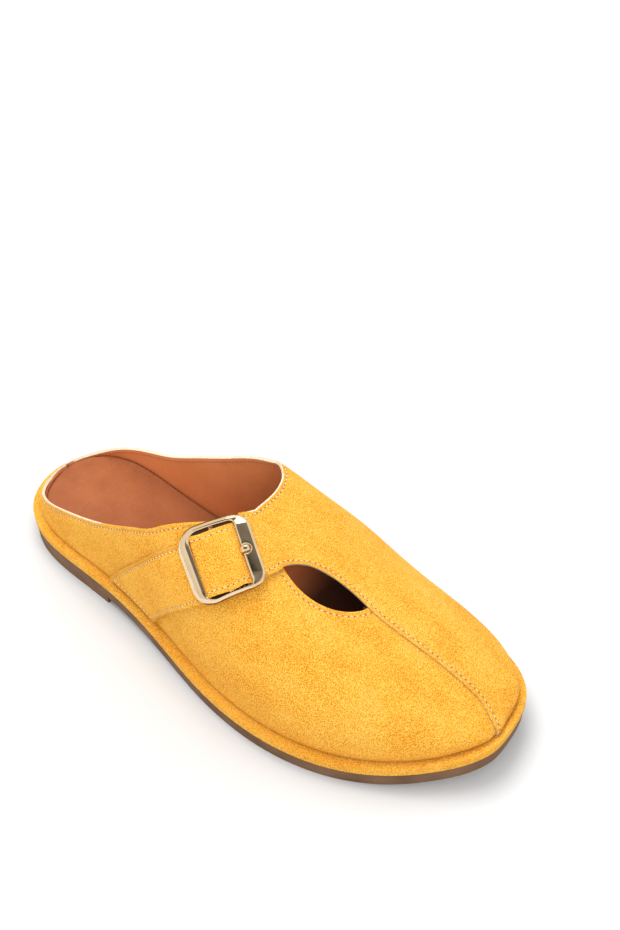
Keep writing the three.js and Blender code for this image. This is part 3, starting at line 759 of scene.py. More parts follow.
# The cut-out in plan, along and across: its two corners and the handles of its two arched edges.
CUT_BACK, CUT_FRONT = (169.5, -15.2), (200, -2.1)
CUT_MEDIAL_HANDLES = [(171.5, -5), (184, -0.5)]
CUT_LATERAL_HANDLES = [(180, -19), (195, -16)]


def arched_edge(handles):
    """One edge of the cut-out, from its back corner to its front corner."""
    t = np.linspace(0, 1, CUT_POINTS)[:, None]
    a, b, c, d = (np.array(point, float) for point in (CUT_BACK, *handles, CUT_FRONT))
    plan = a * (1 - t) ** 3 + 3 * b * t * (1 - t) ** 2 + 3 * c * t**2 * (1 - t) + d * t**3
    share = np.array([crown_share(along) for along in plan[:, 0]])
    turn = np.full(CUT_POINTS, CUT_GUESS)
    for _ in range(PLAN_STEPS):
        share, turn = step_towards(plan.T, on_last, share, turn)
    return share, turn


cut_medial_edge = arched_edge(CUT_MEDIAL_HANDLES)
cut_lateral_edge = arched_edge(CUT_LATERAL_HANDLES)
rim_shares = THROAT_SHARE * (1 - (1 - np.linspace(0, 1, RIM_POINTS)) ** 2)
medial_rim = (rim_shares, rim_turn(rim_shares, MEDIAL))
lateral_rim = (rim_shares, rim_turn(rim_shares, LATERAL))

STRAP_CORNER_ACROSS = -11  # where the strap's back edge leaves the topline
corner = int(np.flatnonzero(on_last(*lateral_rim)[1] < STRAP_CORNER_ACROSS).max())
rim_to_corner = tuple(axis[: corner + 1] for axis in lateral_rim)
rim_past_corner = tuple(axis[corner:][::-1] for axis in lateral_rim)
root_back = tuple(axis[-1] for axis in rim_past_corner)
root_front = tuple(axis[0] for axis in cut_medial_edge)
strap_root = tuple(np.linspace(back, front, SHORT_LINE_POINTS) for back, front in zip(root_back, root_front))
seam_top = tuple(np.linspace(axis[-1], end, SEAM_POINTS) for axis, end in zip(cut_medial_edge, (1, 90)))
seam_toe = {
    side: (np.ones(SEAM_POINTS), np.linspace(90, foot, SEAM_POINTS)) for side, foot in FEATHER_TURN.items()
}

# Edges of the strap as shares of the way from heel to toe, down the outer side: turn, back, front.
STRAP = np.array(
    [
        (root_back[1], root_back[0], root_front[0]),
        (107.5, 0.569, 0.6525),
        (112.2, 0.560, 0.6435),
        (116.7, 0.5495, 0.6355),
        (121.2, 0.5385, 0.6255),
        (126.5, 0.522, 0.613),
        (132, 0.504, 0.595),
        (144, 0.461, 0.5545),
        (156, 0.415, 0.511),
        (168, 0.366, 0.4695),
        (178.2, 0.3305, 0.440),
    ]
)
STRAP_END = STRAP[-1, 0]
strap_back = smooth_curve(STRAP[:, 0], STRAP[:, 1])
strap_front = smooth_curve(np.append(root_front[1], STRAP[1:, 0]), STRAP[:, 2])


def strap_line(edge, root_turn):
    turn = np.linspace(root_turn, STRAP_END, STRAP_POINTS)
    return edge(turn), turn


strap_back_line = strap_line(strap_back, root_back[1])
strap_front_line = strap_line(strap_front, root_front[1])
strap_end_line = (
    np.linspace(strap_back(STRAP_END), strap_front(STRAP_END), SHORT_LINE_POINTS),
    np.full(SHORT_LINE_POINTS, STRAP_END),
)

# ---- buckle seat ----
# The buckle lies on the strap where it crosses the outer side of the instep. Its place is given along the
# strap and along its bar, from its middle, and follows the last under it.

FRAME = {"run": 29.3, "bar": 31.8, "front_corner": 6.7, "back_corner": 9}
WINDOW = {"run": 18.6, "bar": 27.6, "front_corner": 2, "back_corner": 4, "shift": -0.5}
SEAT = (0.5715, 122.3)  # share and turn
BAR_DIRECTION = Vector((0.436, 0.768, 0.469))
seat_point = np.array([float(value) for value in on_last(*SEAT)])


def shoe_vector(along, across, height):
    return np.array([across, -along, height])


by_share = shoe_vector(*(np.array(on_last(SEAT[0] + SHARE_STEP, SEAT[1])) - seat_point))
by_turn = shoe_vector(*(np.array(on_last(SEAT[0], SEAT[1] + TURN_STEP)) - seat_point))
away = Vector(np.cross(by_turn, by_share)).normalized()
away = away if away.z > 0 else -away
bar_axis = (BAR_DIRECTION - away * BAR_DIRECTION.dot(away)).normalized()
run_axis = bar_axis.cross(away).normalized()


def from_seat(points):
    """How far points lie from the buckle's middle along the strap and along the bar."""
    along, across, height = (points[axis] - seat_point[axis] for axis in range(3))
    return tuple(across * axis.x - along * axis.y + height * axis.z for axis in (run_axis, bar_axis))


def on_buckle(run, bar, level):
    """The point that far from the buckle's middle, at a level above the upper."""

    def place(share, turn):
        return from_seat(on_last(share, turn, level))

    share, turn = np.full_like(run, SEAT[0]), np.full_like(run, SEAT[1])
    for _ in range(BUCKLE_STEPS):
        share, turn = step_towards((run, bar), place, share, turn)
    return on_last(share, turn, level)


# ---- panels of the upper ----
# The inner panel runs from the back seam over the instep and ends in the strap. It laps over the outer panel
# down the toe seam. Both are suede, lined with tan leather, and their cut edges are left bare.

SKIN = 1.3  # suede and lining together, pared thin
# How far from the topline the cream reaches, on the skin and on the cut edge, which is raw suede beyond it.
CREAM_LINE = {"collar": 0.3, "throat": 0.6}
CUT_LINE = {"collar": 2.6, "throat": 2.6}
THROAT_SIDES = 112  # ahead of this the topline is the throat's
TURNED_IN = (80, 144)  # the outer side's topline is suede along here
STRAP_LIFT = 1.9
LAP_WIDTH = 9
LAP_UNDER = 0.7  # the outer panel's edge goes this far under the inner panel at the toe seam
LAP_FADE = 3
STITCH_INSET = 1.9
EDGE_ROLL = {"depth": 0.16, "width": 0.9}
STITCH_TROUGH = {"depth": 0.22, "width": 0.6}
CHAIN_PIECES = 110

# The inner panel's free side and how far it is lifted there: along, across, lift.
LAP = np.array(
    [
        (120, -11.5, 1.9),
        (150, -12.5, 1.9),
        (169.5, -15.2, 1.9),
        (176, -5.3, 1.3),
        (188, -1.8, 1.1),
        (200, -2.1, 1.0),
        (216, -2, 1.0),
        (263, -2.5, 1.0),
    ]
)
HUMP_HEIGHT, HUMP_FLAT, HUMP_FOOT = 2.9, 6.4, 11  # the strap's rise over the buckle's centre pin

# Shadow is painted on the outer panel under the strap. The painted shadow reaches this far past the buckle's
# window along the strap, and lies between these places along its bar.
PAINTED_SHADOW_UNDER_STRAP = {"past_window": 1.2, "bar": (-13.2, 15.4)}

# The seam down the toe bows inwards. The bow grows from the start to the crest, is gone by the end, and fades
# to both sides.
SEAM_BOW = {"size": 3.8, "start": 205, "crest": (247, 248), "end": 262, "fade": 24}


def distance_to(points, chains):
    """Distance from each point to the nearest of some chains."""
    nearest = np.full(len(points), np.inf)
    for chain in chains:
        for start, end in zip(chain[:-1], chain[1:]):
            step = end - start
            part = np.clip((points - start) @ step / max(step @ step, 1e-12), 0, 1)
            nearest = np.minimum(nearest, np.linalg.norm(points - start - part[:, None] * step, axis=1))
    return nearest


seam_chain = [np.column_stack(on_last(*evenly(line, CHAIN_PIECES))) for line in (seam_top, seam_toe[MEDIAL])]


def on_upper(share, turn, grow=0.0, under=0.0):
    """A point of the last, drawn aside where the toe seam bows; an edge there can go under by so much."""
    along, across, height = on_last(share, turn, grow)
    from_seam = distance_to(np.column_stack([along, across, height]), seam_chain)
    rise, fall = SEAM_BOW["crest"]
    bow = smoothstep(SEAM_BOW["start"], rise, along) * (1 - smoothstep(fall, SEAM_BOW["end"], along))
    aside = SEAM_BOW["size"] * bow * (1 - smoothstep(0, SEAM_BOW["fade"], from_seam))
    return along, across + aside + under * (1 - smoothstep(0, LAP_FADE, from_seam)), height


def chords(*lines):
    """Lines on the upper as chains of short straight pieces."""
    return [np.column_stack(on_upper(*evenly(line, CHAIN_PIECES))) for line in lines]


inner_free_edges = chords(
    medial_rim, rim_past_corner, strap_back_line, strap_end_line, strap_front_line, cut_medial_edge, seam_top,
    seam_toe[MEDIAL],
)
outer_free_edges = chords(rim_to_corner, cut_lateral_edge)
toplines = chords(medial_rim, rim_past_corner, rim_to_corner)
feather_lines = chords(
    *((np.linspace(0, 1, RIM_POINTS), np.full(RIM_POINTS, FEATHER_TURN[side])) for side in (LATERAL, MEDIAL))
)


def edge_dip(from_edge):
    """The suede rolls down at a cut edge and is drawn in along the stitches."""
    roll = EDGE_ROLL["depth"] * np.clip(1 - from_edge / EDGE_ROLL["width"], 0, 1) ** 2
    from_stitches = (from_edge - STITCH_INSET) / STITCH_TROUGH["width"]
    return -roll - STITCH_TROUGH["depth"] * np.exp(-(from_stitches**2))


def inner_lift(share, turn, over_bar=False):
    """How far the inner panel or the strap stands off the last."""
    plain = on_last(share, turn)
    lap_line, lap_lift = (np.interp(plain[0], LAP[:, 0], LAP[:, column]) for column in (1, 2))
    lift = lap_lift * (1 - smoothstep(0, LAP_WIDTH, plain[1] - lap_line))
    if over_bar:
        run, _ = from_seat(plain)
        lift = STRAP_LIFT + HUMP_HEIGHT * (1 - smoothstep(HUMP_FLAT, HUMP_FOOT, np.abs(run)))
    return lift + edge_dip(distance_to(np.column_stack(on_upper(share, turn)), inner_free_edges))


def outer_lift(share, turn):
    return edge_dip(distance_to(np.column_stack(on_upper(share, turn)), outer_free_edges))


# Rows of points near a panel's top line, in millimetres from it. They draw together in a column shorter than
# the full one.
FULL_COLUMN = 14
COLUMN_POINTS = 80
NEAR_TOP = np.array([0, 0.4, 0.8, 1.2, 1.6, 2.0, 2.4, 2.8, 3.3, 4.2, 5.5])


def panel_grid(top, foot_turn, stretches, rows):
    """Shares and turns of a panel: curved columns from its top line down to the feather line.

    Each stretch of the top line has its number of columns, and at its end the share and turn of their bend
    and the share of their foot.
    """
    ends = np.cumsum([0, *(stretch[0] for stretch in stretches)])
    bend_share, bend_part, foot_share = (
        np.interp(np.arange(ends[-1] + 1), ends, [start, *(stretch[i] for stretch in stretches)])
        for i, start in ((1, 0), (2, 0.5), (3, 0))
    )
    t = np.linspace(0, 1, COLUMN_POINTS)
    columns = []
    lines = zip(*top, bend_share, bend_part, foot_share)
    for share_top, turn_top, share_bend, part_bend, share_foot in lines:
        turn_bend = foot_turn + (turn_top - foot_turn) * part_bend
        share = share_top * (1 - t) ** 2 + 2 * share_bend * t * (1 - t) + share_foot * t**2
        turn = turn_top * (1 - t) ** 2 + 2 * turn_bend * t * (1 - t) + foot_turn * t**2
        length = distances_along(np.column_stack(on_last(share, turn)))
        near = NEAR_TOP * min(1, length[-1] / FULL_COLUMN)
        rest = near[-1] + (length[-1] - near[-1]) * np.linspace(0, 1, rows - len(near) + 2)[1:]
        wanted = np.concatenate([near, rest])
        columns.append((np.interp(wanted, length, share), np.interp(wanted, length, turn)))
    return np.array(columns).transpose(1, 0, 2)


def panel(name, grid, lift, under=0.0, **options):
    """A panel's skin, shaped over the last and lifted off it."""
    columns, rows = grid.shape[1] - 1, grid.shape[2] - 1

    def shape(u, v):
        place = (np.rint(u * columns).astype(int), np.rint(v * rows).astype(int))
        share, turn = grid[0][place], grid[1][place]
        return on_upper(share, turn, lift(share, turn, **options), under)

    return shaped_grid(name, columns, rows, shape)


RIM_COLUMNS, SIDE_COLUMNS, CORNER_COLUMNS, CUT_COLUMNS, SEAM_COLUMNS, PANEL_ROWS = 150, 110, 12, 36, 64, 46
STRAP_PARTS = [0, 0.015, 0.03, 0.05, 0.07, 0.09, 0.11, 0.14, 0.19, 0.27, 0.36, 0.45]
STRAP_PARTS = [*STRAP_PARTS, *(1 - part for part in reversed(STRAP_PARTS))]
ROOT_COLUMNS = len(STRAP_PARTS) - 1

inner_top = join_lines(
    evenly(medial_rim, RIM_COLUMNS),
    evenly(rim_past_corner, CORNER_COLUMNS),
    evenly(strap_root, 0, STRAP_PARTS),
    evenly(cut_medial_edge, CUT_COLUMNS),
    evenly(join_lines(seam_top, seam_toe[MEDIAL]), SEAM_COLUMNS),
)
outer_top = join_lines(
    evenly(rim_to_corner, RIM_COLUMNS),
    evenly(strap_root, ROOT_COLUMNS),
    evenly(cut_lateral_edge, CUT_COLUMNS),
    evenly(join_lines(seam_top, seam_toe[LATERAL]), SEAM_COLUMNS),
)
INNER_STRETCHES = [
    (SIDE_COLUMNS, 0.46, 0.7, 0.46),
    (RIM_COLUMNS - SIDE_COLUMNS, 0.61, 0.95, 0.58),
    (CORNER_COLUMNS, 0.64, 0.97, 0.62),
    (ROOT_COLUMNS, 0.67, 0.8, 0.67),
    (CUT_COLUMNS, 0.815, 0.6, 0.8),
    (SEAM_COLUMNS, 1, 0.5, 1),
]
OUTER_STRETCHES = [
    (RIM_COLUMNS, 0.55, 0.5, 0.5),
    (ROOT_COLUMNS, 0.63, 0.6, 0.6),
    (CUT_COLUMNS, 0.815, 0.75, 0.78),
    (SEAM_COLUMNS, 1, 0.5, 1),
]
inner_grid = panel_grid(inner_top, FEATHER_TURN[MEDIAL], INNER_STRETCHES, PANEL_ROWS)
outer_grid = panel_grid(outer_top, FEATHER_TURN[LATERAL], OUTER_STRETCHES, PANEL_ROWS)

STRAP_ROWS = 110
across_strap = np.array(STRAP_PARTS)[None, :]
back_rows = np.array(evenly(strap_back_line, STRAP_ROWS))[:, :, None]
front_rows = np.array(evenly(strap_front_line, STRAP_ROWS))[:, :, None]
strap_grid = back_rows * (1 - across_strap) + front_rows * across_strap
strap_grid[:, 0] = evenly(strap_root, 0, STRAP_PARTS)


def join(*pieces):
    select(*pieces)
    bpy.ops.object.join()
    return pieces[0]


inner_skin = panel("inner_panel", inner_grid, inner_lift)
inner_panel = join(inner_skin, panel("strap_skin", strap_grid, inner_lift, over_bar=True))
outer_panel = panel("outer_panel", outer_grid, outer_lift, LAP_UNDER)

LINING_DEEP, LINING_MAIN, LINING_LIGHT = (0.62, 0.2, 0.07), (0.7, 0.24, 0.085), (0.76, 0.28, 0.105)
FOOT_SHADE = {"depth": 0.65, "width": 1.1}  # painted shade, where the suede meets the platform
STITCH_SHADE = {"depth": 0.3, "width": 0.45}  # and painted shade along its stitches
SKIN_SLOT, CREAM_SLOT, LINING_SLOT, RAW_SLOT, SHADOW_SLOT = range(5)  # a panel's materials, in this order

lining = tan_leather("lining_leather", LINING_DEEP, LINING_MAIN, LINING_LIGHT, 0.6)
cream_edge = plain_edge("cream_cut_edge", (0.86, 0.7, 0.5), 0.8)
suede_edge = plain_edge("raw_suede_edge", (0.62, 0.46, 0.3), 0.95)
# Painted shadow under the strap: a dark material for the outer panel by the buckle.
strap_shadow = plain_edge("painted_shadow_under_strap", (0.09, 0.03, 0.012), 0.9)


def shoe_places(places):
    """Along, across and height of points that are given in metres."""
    x, y, z = np.array(places).reshape(-1, 3).T / MM
    return np.column_stack([SOLE_CENTRE - y, x + SIDE_CENTRE, z])


def finish_panel(piece, free_edges, turned=False, under_strap=False):
    """Welds a panel, gives it thickness and lining, paints shade at its foot, stitches and under the strap,
    and its cut edges.
    """
    steps = [WELD]
    if turned:
        steps.append((bpy.ops.mesh.flip_normals, {}))
    edit(piece, *steps)
    places = shoe_places(corners_of(piece))
    from_foot, from_edge = distance_to(places, feather_lines), distance_to(places, free_edges)
    # Painted shade, kept in the "shaded" attribute: darker at the feather line and along the stitches.
    from_stitches = (from_edge - STITCH_INSET) / STITCH_SHADE["width"]
    shade = FOOT_SHADE["depth"] * np.exp(-((from_foot / FOOT_SHADE["width"]) ** 2))
    shade = shade + STITCH_SHADE["depth"] * np.exp(-(from_stitches**2))
    shaded = piece.data.attributes.new("shaded", "FLOAT", "POINT")
    shaded.data.foreach_set("value", np.clip(shade, 0, 1).astype(np.float32))
    for material in (yellow_suede, cream_edge, lining, suede_edge, strap_shadow):
        piece.data.materials.append(material)
    slots = {"material_offset": LINING_SLOT, "material_offset_rim": CREAM_SLOT}
    finish_with(piece, "SOLIDIFY", thickness=SKIN * MM, offset=-1, **slots)
    # Painted shadow: faces under the strap by the buckle take the dark material.
    if under_strap:
        reach = WINDOW["run"] / 2 + PAINTED_SHADOW_UNDER_STRAP["past_window"]
        bar_low, bar_high = PAINTED_SHADOW_UNDER_STRAP["bar"]
        for face in piece.data.polygons:
            run, bar = (float(value) for value in from_seat(shoe_places([face.center])[0]))
            if abs(run) < reach and bar_low < bar < bar_high:
                face.material_index = SHADOW_SLOT
    cut_faces = [face for face in piece.data.polygons if face.material_index == CREAM_SLOT]
    skin_faces = [face for face in piece.data.polygons if face.material_index == SKIN_SLOT]
    for faces, widths, beyond in ((cut_faces, CUT_LINE, RAW_SLOT), (skin_faces, CREAM_LINE, SKIN_SLOT)):
        places = shoe_places([face.center for face in faces])
        along, across, _ = places.T
        turned_in = (across < 0) & (along > TURNED_IN[0]) & (along < TURNED_IN[1])
        cream = np.where(along > THROAT_SIDES, widths["throat"], widths["collar"])
        for face, distance, width, plain in zip(faces, distance_to(places, toplines), cream, turned_in):
            near = SKIN_SLOT if plain else CREAM_SLOT
            face.material_index = beyond if distance > width else near
    smooth(piece, angle=50)
    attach(piece, "root")


finish_panel(inner_panel, inner_free_edges)
finish_panel(outer_panel, outer_free_edges, turned=True, under_strap=True)
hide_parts("upper", "strap")

# ---- buckle ----
# The frame is cast, plated pale gold and polished: one bar and both rails are round, and the other bar is
# flat, with a round seat for the prong. The strap bends over its centre pin, and the prong comes up through
# the strap.

ARC_SHARE = 0.42  # of the points in each quarter of the frame
SEAT_POINTS = 0.75  # how strongly the rest crowd to the middle of a side, where the prong's seat is
BAR = {"level": 4, "half": 1.1}
RAIL = {"level": 3.7, "half": 1.4}
PRONG_SEAT = {"run": 10.7, "radius": 2.5, "depth": 1.3, "channel": 1.6}
END_FACET = {"start": 10.6, "slope": 0.22}  # the flat bar's ends are ground down
RAIL_SLOPE = {"top": 0.48, "bottom": 0.7}  # the rails fall away outwards
BAR_SLOPE = 0.62  # and the round bar falls towards the window
FLAT_BAR = (0.3, 0.4)  # as shares of the run, where the section turns flat
RAIL_END = (0.28, 0.4)  # and where a rail turns into a bar
BOXY = {"round": 1.06, "flat": 0.16}  # how square the section is, and how much more so on the flat bar
PIN_LEVEL, PIN_RADIUS = 2.2, 0.9
PIN_END = 1  # how far the pin goes into the rails
PRONG_HALF_WIDTH, PRONG_HALF_HEIGHT = 1.35, 0.8
EYE = {"middle": 1.5, "radius": 0.3, "half_width": 1.1}  # the prong's loop round the pin
GOLD_DARK, GOLD_LIGHT = (0.8, 0.62, 0.42), (0.88, 0.71, 0.5)

# The prong's path over the pin and up into its seat: run, level.
PRONG = np.array([(1.2, 2.4), (3.5, 2.4), (6.4, 2.3), (8.4, 3.9), (9.8, 5.1), (12.2, 5.0)])


def rounded_rectangle(part, run, bar, front_corner, back_corner, shift=0.0):
    """Run and bar of points round a rectangle with round corners; part goes round once from 0 to 1."""
    quarter = np.floor(part * 4).astype(int) % 4
    w = part * 4 - np.floor(part * 4)

    def corner_point(number, turned):
        run_side, bar_side = np.array([1, -1, -1, 1])[number % 4], np.array([1, 1, -1, -1])[number % 4]
        corner = np.where(run_side > 0, front_corner, back_corner)
        run_middle, bar_middle = run_side * (run / 2 - corner), bar_side * (bar / 2 - corner) + shift
        return run_middle + corner * np.cos(turned), bar_middle + corner * np.sin(turned)

    arc = np.minimum(w / ARC_SHARE, 1)
    start = corner_point(quarter, math.pi / 2 * (quarter + arc))
    end = corner_point(quarter + 1, math.pi / 2 * (quarter + 1))
    straight = np.maximum(w - ARC_SHARE, 0) / (1 - ARC_SHARE)
    straight = straight + SEAT_POINTS / (2 * math.pi) * np.sin(2 * math.pi * straight)
    return tuple(start[axis] + (end[axis] - start[axis]) * straight for axis in (0, 1))


def ring(name, around, across, shape):
    """A torus whose points shape() moves; it gets each point's part of the way round and section angle."""
    bpy.ops.object.select_all(action="DESELECT")
    bpy.ops.mesh.primitive_torus_add(
        major_segments=around, minor_segments=across, major_radius=1, minor_radius=0.25, generate_uvs=False
    )
    piece = bpy.context.object
    piece.name = name
    x, y, z = corners_of(piece).T
    part = np.mod(np.arctan2(y, x) / (2 * math.pi), 1)
    part = np.where(part > 1 - TINY, 0, part)
    move_corners(piece, shape(part, np.arctan2(z, np.hypot(x, y) - 1)))
    edit(piece, FACE_OUT)
    return piece


def frame_shape(part, angle):
    outer, inner = rounded_rectangle(part, **FRAME), rounded_rectangle(part, **WINDOW)
    middle_run = (outer[0] + inner[0]) / 2
    on_rail = 1 - smoothstep(FRAME["run"] / 8, FRAME["run"] / 4, np.abs(middle_run))
    flat = smoothstep(FRAME["run"] * FLAT_BAR[0], FRAME["run"] * FLAT_BAR[1], middle_run)
    boxy = BOXY["round"] + BOXY["flat"] * flat
    reach, rise = (np.clip(boxy * turn(angle), -1, 1) for turn in (np.cos, np.sin))
    run, bar = (inner[axis] + (outer[axis] - inner[axis]) * (0.5 + 0.5 * reach) for axis in (0, 1))
    half = BAR["half"] + (RAIL["half"] - BAR["half"]) * on_rail
    level = BAR["level"] + (RAIL["level"] - BAR["level"]) * on_rail + half * rise
    level -= END_FACET["slope"] * np.maximum(np.abs(bar) - END_FACET["start"], 0) * flat
    rail_side = 1 - smoothstep(FRAME["run"] * RAIL_END[0], FRAME["run"] * RAIL_END[1], np.abs(middle_run))
    outward = np.where(bar > 0, RAIL_SLOPE["top"], RAIL_SLOPE["bottom"]) * (1 + reach) * rail_side
    inward = BAR_SLOPE * np.clip(-reach, 0, 1) ** 1.5 * (1 - rail_side) * (1 - flat)
    level -= half * (outward + inward) * np.clip(3 * rise, 0, 1)
    widened = np.abs(bar) * PRONG_SEAT["radius"] / PRONG_SEAT["channel"]
    in_channel = np.where(run < PRONG_SEAT["run"], widened, np.inf)
    from_middle = np.minimum(np.hypot(run - PRONG_SEAT["run"], bar), in_channel) / PRONG_SEAT["radius"]
    sunk = PRONG_SEAT["depth"] * (1 - smoothstep(0.2, 1, from_middle))
    level = np.where(rise > 0, level - sunk * np.minimum(rise * 3, 1) * flat, level)
    return on_buckle(run, bar, level)


def rod(name, path, half_width, half_height, steps):
    """A rod with rounded ends along a path of run, bar and level."""
    bpy.ops.object.select_all(action="DESELECT")
    bpy.ops.mesh.primitive_uv_sphere_add(segments=24, ring_count=steps, radius=1)
    piece = bpy.context.object
    piece.name = name
    x, y, z = corners_of(piece).T
    lengths = distances_along(path)
    curves = [smooth_curve(lengths, path[:, axis]) for axis in range(3)]
    way = np.arccos(np.clip(-z, -1, 1)) / math.pi * lengths[-1]
    round_end = np.minimum(way, lengths[-1] - way) / half_height
    size = np.sqrt(np.clip(1 - (1 - np.clip(round_end, 0, 1)) ** 2, 0, 1))
    turned = np.arctan2(y, x)
    run, bar, level = (curve(way) for curve in curves)
    along_bar = np.ptp(path[:, 1]) > np.ptp(path[:, 0])
    sideways = size * half_width * np.cos(turned)
    run, bar = (run + sideways, bar) if along_bar else (run, bar + sideways)
    move_corners(piece, on_buckle(run, bar, level + size * half_height * np.sin(turned)))
    edit(piece, FACE_OUT)
    return piece


def pale_gold():
    """Polished plating with faint hairline scratches and a few duller patches."""
    material, tree, shader, place = new_material("pale_gold_plating", 0.12)
    shader.inputs["Metallic"].default_value = 1
    tone = ramp(tree, noise(tree, place, 6, 2), (0.3, GOLD_DARK), (0.7, GOLD_LIGHT))
    tree.links.new(tone, shader.inputs["Base Color"])
    dull = ramp(tree, noise(tree, place, 3, 3), (0.35, 0.07), (0.7, 0.17))
    tree.links.new(dull, shader.inputs["Roughness"])
    bump(tree, shader, (noise(tree, place, 1.5), 0.008))
    return material


gold = pale_gold()
pin_reach = WINDOW["bar"] / 2 + PIN_END
pin_path = np.array([(0, part * pin_reach, PIN_LEVEL) for part in (-1, -0.5, 0, 0.5, 1)])
buckle_frame = join(
    ring("gold_buckle", around=720, across=104, shape=frame_shape),
    rod("centre_pin", pin_path, PIN_RADIUS, PIN_RADIUS, steps=24),
)
prong_path = np.insert(PRONG, 1, 0, axis=1)


def eye_shape(part, angle):
    turned = 2 * math.pi * part
    radius = EYE["middle"] + EYE["radius"] * np.cos(angle)
    level = PIN_LEVEL + radius * np.sin(turned)
    return on_buckle(radius * np.cos(turned), EYE["half_width"] * np.sin(angle), level)


prong = join(
    rod("prong", prong_path, PRONG_HALF_WIDTH, PRONG_HALF_HEIGHT, steps=40),
    ring("prong_eye", around=24, across=8, shape=eye_shape),
)
for piece, node in ((buckle_frame, "buckle_frame"), (prong, "buckle_prong")):
    piece.data.materials.append(gold)
    smooth(piece, angle=40)
    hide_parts(node)
    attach(piece, "root")

# ---- stitches ----
# Cream thread runs in a row beside the cut edges and the back seam, and tan thread beside the topline on the
# lining. Each stitch is a short raised bead, and the needle's hole after it is a dark bead of painted shade.

STITCH_PITCH = 2.25
THREAD_SIZE = (1.35, 0.44, 0.36)
HOLE_SIZE = (0.6, 0.4, 0.14)
THREAD_RISE, HOLE_RISE = 0.06, 0.02
ROW_POINTS = 500
CAST_FROM = {"inside": 9, "outside": 14}  # how far off the upper the search for its surface starts
CROWDING = 0.12  # how much nearer than its inset a stitch may lie to an edge


def bead(size):
    """One stitch, or one hole: a ball stretched to length, width and height."""
    bpy.ops.object.select_all(action="DESELECT")
    bpy.ops.mesh.primitive_uv_sphere_add(segments=8, ring_count=6, radius=0.5)
    piece = bpy.context.object
    corners = corners_of(piece) * size
    faces = [tuple(face.vertices) for face in piece.data.polygons]
    bpy.data.objects.remove(piece)
    return corners, faces


def on_shoe(points):
    """Points given along, across and up, in the object's own axes and in metres."""
    return in_metres(*np.array(points, float).T)


def surface_of(piece):
    return BVHTree.FromObject(piece, bpy.context.evaluated_depsgraph_get())


def stitch_row(line, side, surface, edges, lining=False):
    """Places of stitches beside an edge: they stand on the panel's skin, or inside on its lining."""
    share, turn = evenly(line, ROW_POINTS)
    points = on_shoe(np.column_stack(on_upper(share, turn)))
    outward = on_shoe(np.column_stack(on_upper(share, turn, 1.0))) - points
    outward /= np.linalg.norm(outward, axis=1)[:, None]
    forward = np.gradient(points, axis=0)
    inward = np.cross(outward, forward) * side
    inward /= np.linalg.norm(inward, axis=1)[:, None]
    moved = points + inward * STITCH_INSET * MM
    clear = distance_to(shoe_places(moved), edges) > STITCH_INSET - CROWDING
    hits = []
    for point, normal in zip(moved[clear], outward[clear]):
        if lining:
            start, way = point - CAST_FROM["inside"] * MM * normal, normal
        else:
            start, way = point + CAST_FROM["outside"] * MM * normal, -normal
        place, found, _, _ = surface.ray_cast(Vector(start), Vector(way))
        if place is not None:
            hits.append((*place, *(-found if found.dot(Vector(way)) > 0 else found)))
    hits = np.array(hits)
    length = distances_along(hits[:, :3]) / MM
    count = int(length[-1] // STITCH_PITCH)

    def at(way):
        return np.column_stack([np.interp(way, length, hits[:, column]) for column in range(6)])

    middles = (np.arange(count) + 0.5) * length[-1] / count
    half = THREAD_SIZE[0] / 2
    rows = {}
    for name, ways in (("thread", middles), ("hole", middles + STITCH_PITCH / 2)):
        here = at(ways)
        rows[name] = [here[:, :3], at(ways + half)[:, :3] - at(ways - half)[:, :3], here[:, 3:]]
    return rows


def sew(name, size, rise, places, material):
    """Copies a bead to each place and joins the copies in one mesh."""
    corners, faces = bead(size)
    points, all_faces = [], []
    for place, forward, normal in places:
        forward = forward / max(np.linalg.norm(forward), 1e-9)
        normal = normal / np.linalg.norm(normal)
        aside = np.cross(normal, forward)
        first = len(points) * len(corners)
        turned = corners @ np.array([forward, aside, normal]) * MM
        points.append(turned + place + normal * rise * MM)
        all_faces += [tuple(first + corner for corner in face) for face in faces]
    mesh = bpy.data.meshes.new(name)
    mesh.from_pydata(np.vstack(points).tolist(), [], all_faces)
    piece = bpy.data.objects.new(name, mesh)
    bpy.context.scene.collection.objects.link(piece)
    mesh.materials.append(material)
    smooth(piece, angle=180)
    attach(piece, "root")
    return piece


def reverse(line):
    return tuple(axis[::-1] for axis in line)


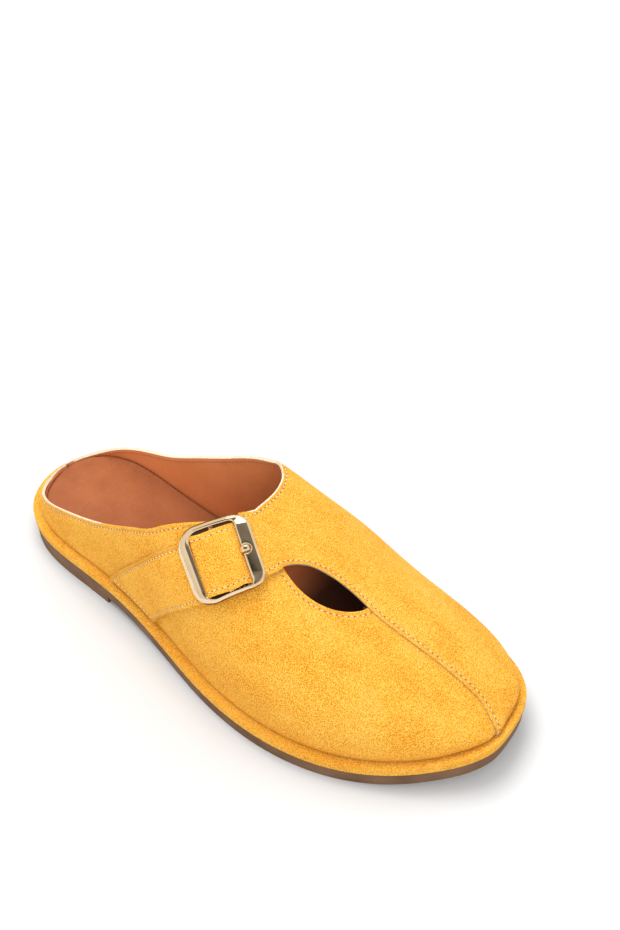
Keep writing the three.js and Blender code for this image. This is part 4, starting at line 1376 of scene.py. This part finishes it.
def drop(side):
    """The back seam, from the topline down to the feather line."""
    top = medial_rim[1][0] if side > 0 else lateral_rim[1][0]
    return np.zeros(SHORT_LINE_POINTS), np.linspace(top, FEATHER_TURN[side], SHORT_LINE_POINTS)


seen = from_seat(on_last(*rim_to_corner))[0] < -FRAME["run"] / 3
seen_rim = tuple(axis[seen] for axis in rim_to_corner)
inner_surface, outer_surface = surface_of(inner_panel), surface_of(outer_panel)
inner_edges = [*inner_free_edges, *feather_lines, *chords(drop(MEDIAL))]
outer_edges = [*outer_free_edges, *feather_lines, *chords(drop(LATERAL))]
row_past_strap = join_lines(reverse(strap_front_line), cut_medial_edge, seam_top, seam_toe[MEDIAL])
outside_rows = [
    stitch_row(join_lines(medial_rim, rim_past_corner, strap_back_line), 1, inner_surface, inner_free_edges),
    stitch_row(strap_end_line, 1, inner_surface, inner_free_edges),
    stitch_row(row_past_strap, 1, inner_surface, inner_free_edges),
    stitch_row(seen_rim, -1, outer_surface, outer_free_edges),
    stitch_row(cut_lateral_edge, -1, outer_surface, outer_free_edges),
    stitch_row(drop(MEDIAL), -1, inner_surface, inner_edges),
    stitch_row(drop(LATERAL), 1, outer_surface, outer_edges),
]
lining_rows = [
    stitch_row(join_lines(medial_rim, rim_past_corner), 1, inner_surface, toplines, lining=True),
    stitch_row(rim_to_corner, -1, outer_surface, toplines, lining=True),
]
cream_thread = plain_edge("cream_thread", (0.84, 0.67, 0.42), 0.7)
tan_thread = plain_edge("tan_thread", (0.56, 0.27, 0.13), 0.7)
# The needle holes are dark beads of painted shade.
needle_hole = plain_edge("needle_hole", (0.07, 0.035, 0.012), 0.9)
for name, rows, kind, size, rise, material in (
    ("stitches", outside_rows, "thread", THREAD_SIZE, THREAD_RISE, cream_thread),
    ("lining_stitches", lining_rows, "thread", THREAD_SIZE, THREAD_RISE, tan_thread),
    ("needle_holes", outside_rows + lining_rows, "hole", HOLE_SIZE, HOLE_RISE, needle_hole),
):
    places = [place for row in rows for place in zip(*row[kind])]
    sew(name, size, rise, places, material)
